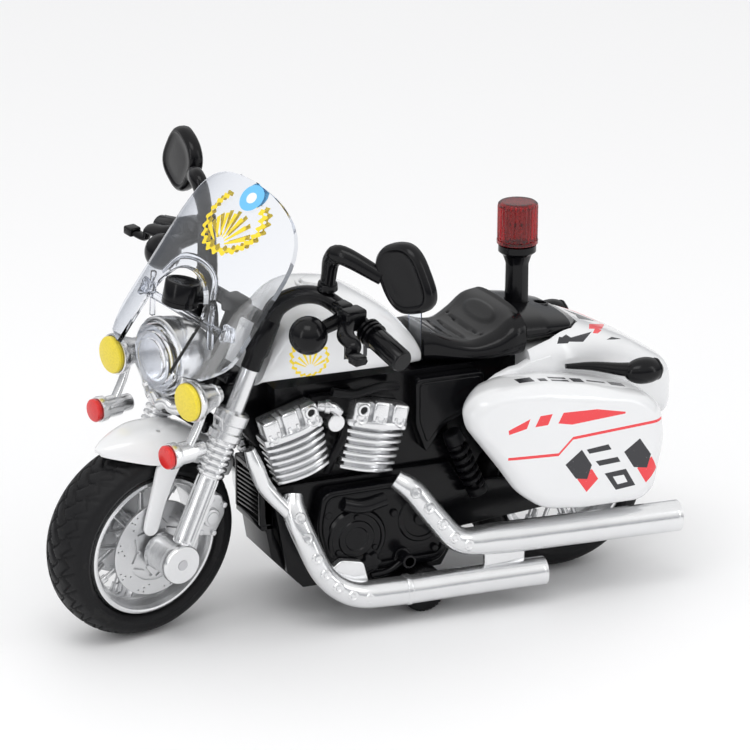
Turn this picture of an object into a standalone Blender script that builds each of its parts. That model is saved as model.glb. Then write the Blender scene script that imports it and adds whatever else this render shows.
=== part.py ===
"""Pull-back toy touring motorcycle, built as the pieces it comes apart into on a bench.

+X points to the front wheel, +Y to the rider's left and +Z up. Sizes are in millimetres and each
mesh is turned into metres as its object is made. The front end is held turned to the left, at
STEER_AT_REST. The last step puts the origin on the ground under the middle of the whole toy.
"""
import math

import bmesh
import bpy
from mathutils import Matrix, Vector

MM = 0.001
GAP = 0.3            # between faces of pieces that touch
RUN = 0.3            # around a shaft or stem that turns

# Frame halves: the rear tyre and the motor run between their side plates
FRAME_HALF_WIDTH = 12.0
PLATE_THICKNESS = 2.2
TYRE_CLEARANCE = 1.8

# Wheels
WHEELBASE = 122.0
WHEEL_RADIUS = 27.0
TYRE_HALF_WIDTH = FRAME_HALF_WIDTH - PLATE_THICKNESS - TYRE_CLEARANCE
TYRE_DEPTH = 7.0
RIM_HALF_WIDTH = TYRE_HALF_WIDTH - 0.8
RIM_WALL = 2.2
HUB_RADIUS = 4.4
SPOKE_RADIUS = 0.8
SPOKES = 9
AXLE_RADIUS = 1.4
DISC_RADIUS = 13.3
DISC_THICKNESS = 0.8

# Steering and fork
RAKE = math.radians(23.0)
STEER_AT_REST = math.radians(15.7)
STEER_LIMIT = math.radians(18.0)
FORK_OFFSET = 2.65
FORK_HALF_SPREAD = 13.8
STEM_RADIUS = 2.2
SLIDER_RADIUS = 2.9
FORK_TUBE_RADIUS = 2.4
BELLOWS_RADIUS = 3.6
CLAMP_RADIUS = 4.5
SLEEVE_RADIUS = 3.2
BOSS_RADIUS = 5.3
AXLE_HALF_LENGTH = 19.7
SLIDER_TOP = 24.0     # distances up the fork from the axle
BELLOWS_TOP = 33.0
CLAMP_TOP = 42.0
TUBE_TOP = 53.0
SLEEVE_TOP = 68.0
YOKE_LOW = 35.2
HEAD_LOW = 39.1
HEAD_HIGH = 47.4
HEAD_RADIUS = 4.5

# Handlebar
BAR_RADIUS = 2.2
GRIP_RADIUS = 3.0
BAR_HALF_WIDTH = 53.0
SIGNAL_RADIUS = 5.0
LEVER_RADIUS = 0.9
MIRROR_HALF_HEIGHT = 9.3
MIRROR_HALF_WIDTH = 9.0
MIRROR_THICKNESS = 4.0
MIRROR_TILT = math.radians(24.0)
MIRROR_TOE = math.radians(10.0)
MIRROR_STALK_RADIUS = 1.9

# Lamps and windshield
HEADLIGHT_RADIUS = 10.4
HEADLIGHT_DEPTH = 13.0
SPOT_RADIUS = 5.1
RED_LAMP_RADIUS = 3.2
LENS_THICKNESS = 1.2
WINDSHIELD_THICKNESS = 1.2
WINDSHIELD_HALF_WIDTH = 24.0
WINDSHIELD_HEIGHT = 43.0
WINDSHIELD_BOW = 7.5
CUTOUT_HALF_WIDTH = 11.6
CUTOUT_HEIGHT = 21.0

# Front fender
FENDER_CLEARANCE = 4.0
FENDER_WALL = 1.3
FENDER_HALF_WIDTH = TYRE_HALF_WIDTH + 1.9

# Frame front and engine
FRAME_TO_TYRE = 6.0
FRAME_TO_FORK = 22.3  # from the fork's own line, at the height of the frame's upper front corner
ENGINE_COVER_DEPTH = 5.5
CYLINDER_LENGTH = 17.0
CYLINDER_HEIGHT = 20.0
CYLINDER_OUTER_Y = FRAME_HALF_WIDTH + 6.6
CYLINDER_TILT = math.radians(16.0)
FINS = 5

# Pull-back motor
CASE_HALF_WIDTH = FRAME_HALF_WIDTH - PLATE_THICKNESS - 2 * GAP
CASE_WALL = 1.0
CASE_FRONT = 10.0     # from the mainspring's arbor to the front of the case
ROLLER_RADIUS = 6.3
ROLLER_WIDTH = 5.4
ROLLER_INNER_Y = FRAME_HALF_WIDTH + 2.0
DRIVE_AXLE_RADIUS = 1.0
GEAR_MODULE = 0.6
GEAR_WIDTH = 2.4
DRIVE_TEETH = 9
IDLER_TEETH = 20
SPRING_TEETH = 26
IDLER_DIRECTION = 38.0   # degrees up from straight ahead, from the drive axle
SPRING_DIRECTION = 16.0  # the same, from the idler
GEAR_Y = 1.6

# Bodywork
TANK_HALF_WIDTH = 19.5
TANK_TOP = 90.5
TANK_BOTTOM = 67.0
TANK_WALL = 1.5
BUTTON_RADIUS = 4.2
BUTTON_TRAVEL = 1.0
SEAT_BOTTOM = 66.6
SEAT_GAP = 0.9        # room for the film between the tank and the seat
PANNIER_DEPTH = 14.0
SIGNAL_HEAD = (5.4, 3.8, 3.6)
PANNIER_WALL = 1.8
PANNIER_EDGE = 2.0
PANNIER_DRAW = 5.4       # how much further back its front edge is at the inside
PANNIER_INNER_Y = 20.7
TAIL_HALF_WIDTH = 20.0
CAP_BOTTOM = 70.0
CAP_LENGTH = 19.0
POST_RADIUS = 3.1
BEACON_RADIUS = 5.6
BEACON_HEIGHT = 11.8
BEACON_TOP = 106.0

# Exhaust
HEADER_RADIUS = 3.2
LOWER_MUFFLER_RADIUS = 3.9
UPPER_MUFFLER_RADIUS = 4.3

# Battery, board and sound
FILM_THICKNESS = 0.3
CELL_RADIUS = 5.8
CELL_THICKNESS = 5.4
CELLS = 3

# Points that several pieces share
FRONT_AXLE = Vector((WHEELBASE / 2, 0, WHEEL_RADIUS))
REAR_AXLE = Vector((-WHEELBASE / 2, 0, WHEEL_RADIUS))
FORK_UP = Vector((-math.sin(RAKE), 0, math.cos(RAKE)))
FORK_FORWARD = Vector((math.cos(RAKE), 0, math.sin(RAKE)))
STEER_FOOT = FRONT_AXLE - FORK_FORWARD * FORK_OFFSET
SIDE = Vector((0, 1, 0))
FRAME_FRONT = FRONT_AXLE.x - max(WHEEL_RADIUS + FRAME_TO_TYRE,
                                 (52.0 - WHEEL_RADIUS) * math.tan(RAKE) + FRAME_TO_FORK)
ENGINE_MIDDLE = FRAME_FRONT - 28.0
TANK_REAR = ENGINE_MIDDLE - 16.0
SEAT_REAR = REAR_AXLE.x + 17.6
POST_X = REAR_AXLE.x + 12.2
DRIVE_AXLE = Vector((ENGINE_MIDDLE - 13.5, 0, ROLLER_RADIUS))
BUTTON_SPOT = Vector((ENGINE_MIDDLE + 10.0, 0, TANK_TOP))

LOOKS = {
    "white_plastic": ((0.92, 0.92, 0.93), 0.25, 0.0),
    "black_plastic": ((0.02, 0.02, 0.022), 0.3, 0.0),
    "grey_plastic": ((0.35, 0.36, 0.38), 0.5, 0.0),
    "silver_paint": ((0.75, 0.76, 0.78), 0.28, 0.9),
    "tyre_rubber": ((0.03, 0.03, 0.032), 0.7, 0.0),
    "clear_plastic": ((0.9, 0.93, 0.96), 0.05, 0.0),
    "yellow_plastic": ((0.95, 0.75, 0.02), 0.35, 0.0),
    "red_plastic": ((0.75, 0.02, 0.02), 0.25, 0.0),
    "steel": ((0.6, 0.6, 0.62), 0.3, 1.0),
    "nylon": ((0.82, 0.8, 0.72), 0.45, 0.0),
    "green_board": ((0.03, 0.3, 0.1), 0.5, 0.0),
    "film": ((0.85, 0.92, 0.98), 0.1, 0.0),
}
MATERIALS = {}
HOMES = {}


# ---------------------------------------------------------------- shapes, in millimetres

def box(low, high, bevel=0.0):
    """A block between two corners, with its edges rounded by bevel."""
    bm = bmesh.new()
    low, high = Vector(low), Vector(high)
    size = high - low
    bmesh.ops.create_cube(bm, size=1.0)
    bmesh.ops.scale(bm, verts=bm.verts, vec=size)
    bmesh.ops.translate(bm, verts=bm.verts, vec=(low + high) / 2)
    if bevel:
        bmesh.ops.bevel(bm, geom=bm.edges[:], offset=bevel, segments=2, profile=0.5,
                        affect="EDGES", material=-1)
    return bm


def rod(start, end, radius, end_radius=None, sides=16):
    """A round bar, or a cone where end_radius is given."""
    bm = bmesh.new()
    start, end = Vector(start), Vector(end)
    along = end - start
    turn = along.to_track_quat("Z", "Y").to_matrix().to_4x4()
    place = Matrix.Translation((start + end) / 2) @ turn
    bmesh.ops.create_cone(bm, cap_ends=True, segments=sides, radius1=radius,
                          radius2=radius if end_radius is None else end_radius,
                          depth=along.length, matrix=place)
    return bm


def ball(centre, radii, sides=12):
    """An ellipsoid with its three half sizes."""
    bm = bmesh.new()
    place = Matrix.Translation(Vector(centre)) @ Matrix.Diagonal(Vector(radii)).to_4x4()
    bmesh.ops.create_uvsphere(bm, u_segments=sides, v_segments=sides // 2, radius=1.0, matrix=place)
    return bm


def loft(rings):
    """A skin through rings of as many points each, with the first and last ring filled."""
    bm = bmesh.new()
    loops = [[bm.verts.new(point) for point in ring] for ring in rings]
    for one, two in zip(loops, loops[1:]):
        for i in range(len(one)):
            bm.faces.new((one[i - 1], one[i], two[i], two[i - 1]))
    bm.faces.new(loops[0])
    bm.faces.new(loops[-1])
    bmesh.ops.recalc_face_normals(bm, faces=bm.faces)
    return bm


def slab(outline, y_low, y_high, bevel=0.0):
    """An outline of (x, z) points, extruded from y_low to y_high."""
    bm = loft([[(x, y, z) for x, z in outline] for y in (y_low, y_high)])
    if bevel:
        rims = [e for e in bm.edges if abs(e.verts[0].co.y - e.verts[1].co.y) < 1e-6]
        bmesh.ops.bevel(bm, geom=rims, offset=bevel, segments=2, profile=0.5,
                        affect="EDGES", material=-1)
    return bm


def turned(profile, foot, axis, sides=24, closed=False):
    """A profile of (radius, height) points turned about the axis through foot."""
    turn = Vector(axis).to_track_quat("Z", "Y").to_matrix().to_4x4()
    bm = bmesh.new()
    verts = [bm.verts.new((radius, 0, height)) for radius, height in profile]
    edges = [bm.edges.new(pair) for pair in zip(verts, verts[1:])]
    if closed:
        edges.append(bm.edges.new((verts[-1], verts[0])))
    bmesh.ops.spin(bm, geom=verts + edges, cent=(0, 0, 0), axis=(0, 0, 1), angle=2 * math.pi,
                   steps=sides, use_merge=True)
    bmesh.ops.remove_doubles(bm, verts=bm.verts, dist=1e-4)
    bmesh.ops.recalc_face_normals(bm, faces=bm.faces)
    bmesh.ops.transform(bm, verts=bm.verts, matrix=Matrix.Translation(Vector(foot)) @ turn)
    return bm


def smooth_route(points, per_span=4):
    """A Catmull-Rom curve through the given points."""
    points = [Vector(p) for p in points]
    ends = [points[0] * 2 - points[1]] + points + [points[-1] * 2 - points[-2]]
    route = []
    for a, b, c, d in zip(ends, ends[1:], ends[2:], ends[3:]):
        for step in range(per_span):
            t = step / per_span
            route.append(0.5 * (2 * b + (c - a) * t + (2 * a - 5 * b + 4 * c - d) * t * t
                                + (3 * b - a - 3 * c + d) * t ** 3))
    return route + [points[-1]]


def tube(points, radii, sides=10, per_span=4):
    """A round tube along a smooth route; radii is one radius or one for each given point."""
    route = smooth_route(points, per_span)
    if not isinstance(radii, (list, tuple)):
        radii = [radii] * len(points)
    rings = []
    side = Vector((0, 1, 0))
    for i, point in enumerate(route):
        along = (route[min(i + 1, len(route) - 1)] - route[max(i - 1, 0)]).normalized()
        side = (side - along * side.dot(along)).normalized()
        if side.length < 0.5:
            side = along.orthogonal().normalized()
        up = along.cross(side)
        span = min(i // per_span, len(radii) - 2)
        share = (i - span * per_span) / per_span
        radius = radii[span] * (1 - share) + radii[span + 1] * share
        rings.append([point + (side * math.cos(a) + up * math.sin(a)) * radius
                      for a in (2 * math.pi * k / sides for k in range(sides))])
    return loft(rings)


def round_ring(x, z_low, z_high, half_width, sides=16, square=0.6):
    """A rounded cross-section across the toy at x."""
    points = []
    for k in range(sides):
        a = 2 * math.pi * (k + 0.5) / sides
        y = math.copysign(abs(math.cos(a)) ** square, math.cos(a)) * half_width
        z = math.copysign(abs(math.sin(a)) ** square, math.sin(a)) * (z_high - z_low) / 2
        points.append((x, y, (z_low + z_high) / 2 + z))
    return points


def flipped(bm):
    """The same shape on the other side of the toy."""
    bmesh.ops.scale(bm, verts=bm.verts, vec=(1, -1, 1))
    bmesh.ops.reverse_faces(bm, faces=bm.faces)
    return bm


def tilted(bm, angle, centre):
    """The shape turned about the Y direction through centre."""
    bmesh.ops.rotate(bm, verts=bm.verts, cent=centre, matrix=Matrix.Rotation(angle, 3, "Y"))
    return bm


# ---------------------------------------------------------------- objects

def material(name):
    if name not in MATERIALS:
        made = bpy.data.materials.new(name)
        made.use_nodes = True
        shader = made.node_tree.nodes["Principled BSDF"]
        colour, roughness, metallic = LOOKS[name]
        shader.inputs["Base Color"].default_value = (*colour, 1.0)
        shader.inputs["Roughness"].default_value = roughness
        shader.inputs["Metallic"].default_value = metallic
        MATERIALS[name] = made
    return MATERIALS[name]


def pivot(name, home, parent=None, turn=None):
    """An empty on a joint's axis, at its place on the toy with the front end straight."""
    empty = bpy.data.objects.new(name, None)
    bpy.context.scene.collection.objects.link(empty)
    HOMES[name] = Vector(home)
    empty.parent = parent
    base = HOMES[parent.name] if parent else Vector()
    empty.location = (HOMES[name] - base) * MM
    if turn:
        empty.rotation_euler = turn.to_euler()
    return empty


def mesh_object(name, shape, parent):
    """One object holding the shape in metres, with its origin on its parent empty."""
    bmesh.ops.translate(shape, verts=shape.verts, vec=-HOMES[parent.name])
    bmesh.ops.scale(shape, verts=shape.verts, vec=(MM, MM, MM))
    mesh = bpy.data.meshes.new(name)
    shape.to_mesh(mesh)
    shape.free()
    made = bpy.data.objects.new(name, mesh)
    bpy.context.scene.collection.objects.link(made)
    made.parent = parent
    return made


def operand(name, shape, parent, target, operation):
    """A hidden guide that is joined to target, or cut from it."""
    guide = mesh_object(name, shape, parent)
    guide.hide_render = True
    guide.display_type = "WIRE"
    step = target.modifiers.new(operation.title(), "BOOLEAN")
    step.operation = operation
    step.solver = "EXACT"
    step.object = guide


def add(name, shapes, look, parent, holes=(), late=()):
    """One sub-part: its first shape, joined by the others, with the holes cut out, then the late shapes."""
    made = mesh_object(name, shapes[0], parent)
    for number, shape in enumerate(shapes[1:]):
        operand(f"{name}.join{number}", shape, parent, made, "UNION")
    for number, hole in enumerate(holes):
        operand(f"{name}.cut{number}", hole, parent, made, "DIFFERENCE")
    for number, shape in enumerate(late):
        operand(f"{name}.late{number}", shape, parent, made, "UNION")
    made.data.materials.append(material(look))
    made.data.shade_smooth()
    made.data.set_sharp_from_angle(angle=math.radians(35.0))
    return made


def add_pair(name, shapes_of, look, parent, holes_of=None):
    """A left sub-part and its mirror image on the right."""
    for side in ("left", "right"):
        shapes = shapes_of()
        holes = holes_of() if holes_of else []
        if side == "right":
            shapes = [flipped(bm) for bm in shapes]
            holes = [flipped(bm) for bm in holes]
        add(f"{name}_{side}", shapes, look, parent, holes)


def fork_point(height, y=0.0, forward=0.0):
    """A point that far up the fork from the axle's level, on the steering axis' plane."""
    return STEER_FOOT + FORK_UP * height + FORK_FORWARD * forward + SIDE * y


def fork_block(low, high, reach, half_depth):
    """A block between two heights on the fork, square to the steering axis."""
    corners = ((-reach, -half_depth), (reach, -half_depth), (reach, half_depth), (-reach, half_depth))
    return loft([[fork_point(height, y, forward) for y, forward in corners] for height in (low, high)])


def fork_x(z):
    """Where the steering axis is at a height above the ground."""
    return STEER_FOOT.x - (z - STEER_FOOT.z) * math.tan(RAKE)


# ---------------------------------------------------------------- wheels

def tyre_profile():
    outer, inner = WHEEL_RADIUS, WHEEL_RADIUS - TYRE_DEPTH
    half = TYRE_HALF_WIDTH
    right = [(inner, RIM_HALF_WIDTH - 0.6), (inner + 2.6, half), (outer - 1.6, half - 1.6),
             (outer - 0.4, half * 0.5)]
    return right + [(outer, 0.9), (outer, -0.9)] + [(r, -y) for r, y in reversed(right)]


def wheel(name, centre, parent, with_discs):
    """A cast rim with its spokes and discs, and the tyre that sits on it."""
    rim_radius = WHEEL_RADIUS - TYRE_DEPTH - GAP
    ring = turned([(rim_radius, RIM_HALF_WIDTH - 0.9), (rim_radius - RIM_WALL, RIM_HALF_WIDTH),
                   (rim_radius - RIM_WALL, -RIM_HALF_WIDTH), (rim_radius, 0.9 - RIM_HALF_WIDTH)],
                  centre, SIDE, sides=28, closed=True)
    hub_half = RIM_HALF_WIDTH + (0.9 if with_discs else 0.4)
    shapes = [ring, rod(centre - SIDE * hub_half, centre + SIDE * hub_half, HUB_RADIUS, sides=20)]
    for k in range(SPOKES):
        a = 2 * math.pi * k / SPOKES
        out = Vector((math.sin(a), 0, math.cos(a)))
        shapes.append(rod(centre + out * (HUB_RADIUS - 1), centre + out * (rim_radius - RIM_WALL / 2),
                          SPOKE_RADIUS * 1.4, SPOKE_RADIUS, sides=5))
    if with_discs:
        for side in (-1, 1):
            face = side * (RIM_HALF_WIDTH + 0.1)
            shapes.append(rod(centre + SIDE * face, centre + SIDE * (face + side * DISC_THICKNESS),
                              DISC_RADIUS, sides=24))
    bore = rod(centre - SIDE * 20, centre + SIDE * 20, AXLE_RADIUS + RUN, sides=16)
    add(f"{name}_rim", shapes, "silver_paint", parent, [bore])
    add(f"{name}_tyre", [turned(tyre_profile(), centre, SIDE, sides=32, closed=True)],
        "tyre_rubber", parent)


def front_wheel(parent):
    wheel("front", FRONT_AXLE, parent, with_discs=True)
    reach = SIDE * (AXLE_HALF_LENGTH + 0.2)
    add("front_axle", [rod(FRONT_AXLE - reach, FRONT_AXLE + reach, AXLE_RADIUS)], "steel", parent)


def rear_wheel(parent):
    wheel("rear", REAR_AXLE, parent, with_discs=False)
    reach = SIDE * (FRAME_HALF_WIDTH + 1.5)
    add("rear_axle", [rod(REAR_AXLE - reach, REAR_AXLE + reach, AXLE_RADIUS)], "steel", parent)


# ---------------------------------------------------------------- front end

def fork_leg():
    y = FORK_HALF_SPREAD
    boss_inner = RIM_HALF_WIDTH + 0.9 + 2 * GAP
    return [
        rod(fork_point(0.5, y), fork_point(SLIDER_TOP, y), SLIDER_RADIUS),
        rod(FRONT_AXLE + SIDE * boss_inner, FRONT_AXLE + SIDE * AXLE_HALF_LENGTH, BOSS_RADIUS, sides=20),
        rod(fork_point(SLIDER_TOP - 1, y), fork_point(BELLOWS_TOP, y), BELLOWS_RADIUS),
        rod(fork_point(BELLOWS_TOP - 1, y), fork_point(CLAMP_TOP, y), CLAMP_RADIUS),
        rod(fork_point(CLAMP_TOP - 1, y), fork_point(TUBE_TOP, y), FORK_TUBE_RADIUS),
        box(fork_point(8, y - 2.4, -9.0), fork_point(8, y + 1.6, -1.0) + Vector((0, 0, 8)), 0.5),
    ]


def fork(parent):
    def axle_hole():
        return [rod(FRONT_AXLE, FRONT_AXLE + SIDE * 30, AXLE_RADIUS + RUN)]

    add_pair("fork_leg", fork_leg, "silver_paint", parent, axle_hole)
    shapes = [rod(fork_point(YOKE_LOW), fork_point(SLEEVE_TOP - 4), STEM_RADIUS),
              fork_block(YOKE_LOW, HEAD_LOW - GAP, FORK_HALF_SPREAD - CLAMP_RADIUS - GAP, 3.2),
              fork_block(HEAD_HIGH + GAP, TUBE_TOP - 1.0, FORK_HALF_SPREAD - SLEEVE_RADIUS - GAP, 3.2)]
    pod = headlight_centre() + Vector((-5.2, 0, HEADLIGHT_RADIUS + 3.0))
    shapes.append(tube([fork_point(TUBE_TOP - 2.5, 0, 2.0), fork_point(TUBE_TOP + 5, 0, 4.5),
                        pod + Vector((-9.0, 0, -0.5)), pod + Vector((0, 0, 1.3))], 1.6, sides=8, per_span=2))
    shapes.append(rod(pod, pod + Vector((-1.2, 0, 6.6)), 4.9, 4.6, sides=20))
    add("steering_yoke", shapes, "black_plastic", parent)


def bar_route(side):
    """The handlebar's left or right half, from the fork sleeve to its end."""
    top = fork_point(SLEEVE_TOP, FORK_HALF_SPREAD)
    points = [top + Vector(p) for p in ((0.4, 0, -1.5), (-1.0, 1.8, 3.6), (-4.0, 6.4, 7.6), (-7.6, 12.0, 8.4),
                                        (-11.0, 19.0, 5.2), (-12.2, 23.0, 3.6))]
    points.append(Vector((points[-1].x - 0.2, BAR_HALF_WIDTH, points[-1].z - 3.9)))
    return [Vector((p.x, p.y * side, p.z)) for p in points]


def handlebar(parent):
    shapes = []
    cross = SLEEVE_TOP - 1.5
    shapes.append(rod(fork_point(cross, -FORK_HALF_SPREAD), fork_point(cross, FORK_HALF_SPREAD), 2.0))
    for side in (1, -1):
        route = bar_route(side)
        y = FORK_HALF_SPREAD * side
        shapes.append(rod(fork_point(TUBE_TOP + GAP, y), fork_point(SLEEVE_TOP, y), SLEEVE_RADIUS))
        shapes.append(tube(route, [2.6, 2.6, 2.4] + [BAR_RADIUS] * 4, sides=8, per_span=2))
        grip_in = route[-2].lerp(route[-1], 0.15)
        shapes.append(rod(grip_in, route[-1] + SIDE * 0.6 * side, GRIP_RADIUS, sides=12))
        signal = route[4] + Vector((12.6, -0.5 * side, -3.0))
        shapes.append(ball(signal, (SIGNAL_RADIUS, SIGNAL_RADIUS, SIGNAL_RADIUS), sides=14))
        shapes.append(rod(route[4], signal, 1.5, sides=8))
        perch = route[4] + Vector((1.5, 3.0 * side, 0.5))
        shapes.append(box(perch - Vector((3.2, 2.4, 2.6)), perch + Vector((3.4, 2.4, 2.6))))
        tip = Vector((route[-1].x + 12.0, (BAR_HALF_WIDTH - 1.0) * side, route[-1].z + 2.6))
        shapes.append(tube([perch + Vector((2, 0, 0)), perch + Vector((6.4, 4.0 * side, -1.6)),
                            tip - Vector((1.8, 6.0 * side, 1.2)), tip], LEVER_RADIUS, sides=6, per_span=2))
    add("handlebar", shapes, "black_plastic", parent)


def mirror_shapes():
    """The left mirror: a stalk that rises from the bar and a rounded head."""
    foot = bar_route(1)[3]
    seat = foot + Vector((-0.6, 0.8, BAR_RADIUS + GAP))
    elbow = seat + Vector((0.4, 1.0, 6.6))
    head = Vector((foot.x - 8.0, foot.y + 22.8, foot.z + 11.8))
    stalk = tube([seat, elbow, elbow + Vector((-0.6, 4.6, 3.6)), head + Vector((1.2, -6.0, 1.0))],
                 MIRROR_STALK_RADIUS, sides=8, per_span=2)
    turn = Matrix.Rotation(MIRROR_TOE, 3, "Z") @ Matrix.Rotation(MIRROR_TILT, 3, "X")
    rings = []
    for depth, share in ((-0.5, 0.82), (-0.25, 1.0), (0.2, 1.0), (0.5, 0.7)):
        ring = []
        for k in range(16):
            a = 2 * math.pi * k / 16
            y = math.cos(a) * MIRROR_HALF_WIDTH * share
            z = math.sin(a) * MIRROR_HALF_HEIGHT * share
            ring.append(head + turn @ Vector((depth * MIRROR_THICKNESS, y, z)))
        rings.append(ring)
    return [loft(rings), stalk]


def headlight_centre():
    """The middle of the headlight's rim."""
    return fork_point(BELLOWS_TOP + 22.0) + Vector((19.0, 0, 1.2))


def headlight(parent):
    centre = headlight_centre()
    r = HEADLIGHT_RADIUS
    shell = turned([(0, -HEADLIGHT_DEPTH), (r * 0.45, -HEADLIGHT_DEPTH), (r * 0.75, -HEADLIGHT_DEPTH * 0.75),
                    (r * 0.95, -HEADLIGHT_DEPTH * 0.35), (r, 0), (r - 1.0, 0), (r * 0.6, -6.0), (0, -7.5)],
                   centre, (1, 0, 0), sides=24)
    add("headlight_shell", [shell], "silver_paint", parent)
    lens = turned([(0, GAP), (r - 0.6, GAP), (r - 0.6, 1.2), (r * 0.7, 2.6), (r * 0.35, 3.4), (0, 3.7)],
                  centre, (1, 0, 0), sides=24)
    add("headlight_lens", [lens], "clear_plastic", parent)


def spot_centre(side):
    return fork_point(BELLOWS_TOP + 16.5, 17.3 * side) + Vector((19.5, 0, 0.8))


def red_lamp_centre(side):
    return spot_centre(side) + Vector((5.4, -0.7 * side, -14.5))


def lamp_bar(parent):
    """The chrome moulding across the fork that carries the four extra lamps."""
    bar_foot = spot_centre(1) + Vector((-6.0, -6.5, -5.5))
    middle = Vector((bar_foot.x + 3.0, 0, bar_foot.z - 2.2))
    shapes = [tube([bar_foot, (middle.x, 5, middle.z), (middle.x, -5, middle.z),
                    (bar_foot.x, -bar_foot.y, bar_foot.z)], 1.6, sides=8, per_span=2)]
    for side in (1, -1):
        spot, red = spot_centre(side), red_lamp_centre(side)
        shapes.append(rod(spot - Vector((9.0, 0, 0)), spot, 2.4, SPOT_RADIUS + 0.3, sides=20))
        shapes.append(rod(red - Vector((10.0, 0, 0)), red, RED_LAMP_RADIUS - 0.3, RED_LAMP_RADIUS + 0.2,
                          sides=16))
        strap_low, strap_high = red + Vector((-5.4, 0, 1.5)), spot + Vector((-4.0, 0, -2.0))
        shapes.append(tube([strap_low, strap_high], 1.3, sides=6, per_span=1))
        shapes.append(tube([(bar_foot.x, bar_foot.y * side, bar_foot.z),
                            spot + Vector((-6.0, -2.0 * side, -1.5))], 1.4, sides=6, per_span=1))
    add("lamp_bar", shapes, "silver_paint", parent)
    for side, word in ((1, "left"), (-1, "right")):
        for name, centre, radius, look in (
            ("spot_lens", spot_centre(side), SPOT_RADIUS, "yellow_plastic"),
            ("red_lens", red_lamp_centre(side), RED_LAMP_RADIUS, "red_plastic"),
        ):
            front = LENS_THICKNESS + GAP
            lens = turned([(0, GAP), (radius, GAP), (radius, front - 0.4), (radius - 0.6, front), (0, front + 0.2)],
                          centre, (1, 0, 0), sides=16)
            add(f"{name}_{word}", [lens], look, parent)


def windshield_ring(height, half_width, foot):
    """A thin bowed cross-section of the windshield at a height above its lower edge."""
    back = foot + Vector((-0.78 * height, 0, height))
    front_side, back_side = [], []
    for k in range(11):
        y = half_width * (k / 5 - 1)
        bow = WINDSHIELD_BOW * (y / 22.0) ** 2
        point = back + Vector((-bow, y, 0))
        front_side.append(point)
        back_side.append(point + Vector((-WINDSHIELD_THICKNESS, 0, -WINDSHIELD_THICKNESS * 0.7)))
    return front_side + back_side[::-1]


def windshield(parent):
    centre = headlight_centre()
    foot = centre + Vector((8.0, 0, 1.2))
    w, h = WINDSHIELD_HALF_WIDTH, WINDSHIELD_HEIGHT
    rings = [windshield_ring(h * s, w * share, foot) for s, share in (
        (0.0, 0.8), (0.06, 0.95), (0.15, 1.0), (0.55, 1.0), (0.75, 0.92), (0.88, 0.75), (0.96, 0.5), (1.0, 0.22))]
    reach = 60.0
    low = rod(foot + Vector((-reach, 0, CUTOUT_HEIGHT - CUTOUT_HALF_WIDTH)),
              foot + Vector((reach, 0, CUTOUT_HEIGHT - CUTOUT_HALF_WIDTH)), CUTOUT_HALF_WIDTH, sides=28)
    slot = box(foot + Vector((-reach, -CUTOUT_HALF_WIDTH, -20)),
               foot + Vector((reach, CUTOUT_HALF_WIDTH, CUTOUT_HEIGHT - CUTOUT_HALF_WIDTH)))
    rise = 10.5
    lobe_y = 16.5
    lobe_x = foot.x - 0.78 * rise - WINDSHIELD_BOW * (lobe_y / 22.0) ** 2 - WINDSHIELD_THICKNESS / 2
    mount = Vector((lobe_x, 0, foot.z + rise - 0.4))
    bar = rod(mount - SIDE * (lobe_y + 1.0), mount + SIDE * (lobe_y + 1.0), 1.1, sides=10)
    add("windshield", [loft(rings)], "clear_plastic", parent, [low, slot], [bar])


def front_fender(parent):
    inner = WHEEL_RADIUS + FENDER_CLEARANCE
    outer = inner + FENDER_WALL
    side_radius = WHEEL_RADIUS - 2.0
    w = FENDER_HALF_WIDTH
    outer_side = [(-w, side_radius), (-w * 0.96, outer - 5.0), (-w * 0.7, outer - 1.6), (-w * 0.3, outer - 0.2)]
    inner_w = w - FENDER_WALL + 0.1
    inner_side = [(-inner_w, side_radius), (-inner_w * 0.96, inner - 4.4), (-inner_w * 0.6, inner - 0.9)]
    section = (outer_side + [(-y, r) for y, r in reversed(outer_side)]
               + [(-y, r) for y, r in inner_side] + [(y, r) for y, r in reversed(inner_side)])
    rings = []
    for k in range(13):
        a = math.radians(64.0 + 82.0 * k / 12)
        out = Vector((math.cos(a), 0, math.sin(a)))
        rings.append([FRONT_AXLE + out * r + SIDE * y for y, r in section])
    shapes = [loft(rings)]
    for side in (1, -1):
        y_in, y_out = TYRE_HALF_WIDTH + 0.45, TYRE_HALF_WIDTH + 1.75
        low = FRONT_AXLE + Vector((1.2, 0, 6.6))
        stay = [(low.x, low.z), (low.x + 4.2, low.z), (low.x + 0.4, WHEEL_RADIUS * 2 - 1.0),
                (low.x - 7.4, WHEEL_RADIUS * 2 - 1.0)]
        shapes.append(slab(stay, *sorted((y_in * side, y_out * side))))
    add("front_fender", shapes, "white_plastic", parent)


def front_end(steering):
    fork(steering)
    handlebar(steering)
    add_pair("mirror", mirror_shapes, "black_plastic", steering)
    headlight(steering)
    lamp_bar(steering)
    windshield(steering)
    front_fender(steering)


# ---------------------------------------------------------------- frame and engine

def frame_plate():
    """The visible side of a frame half: engine block outline and the arm to the rear axle."""
    front, z_top = FRAME_FRONT, 39.4
    rear = REAR_AXLE.x
    return [(front, z_top), (front - 4.5, 14.5), (front - 9.0, 9.6), (DRIVE_AXLE.x - 8.0, 9.6),
            (DRIVE_AXLE.x - 14.0, 20.0), (rear - 1.0, WHEEL_RADIUS - 4.5), (rear - 4.5, WHEEL_RADIUS - 1.5),
            (rear - 4.5, WHEEL_RADIUS + 2.0), (rear - 1.0, WHEEL_RADIUS + 4.5),
            (DRIVE_AXLE.x - 14.0, WHEEL_RADIUS + 6.0), (DRIVE_AXLE.x - 10.0, z_top)]


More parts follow.
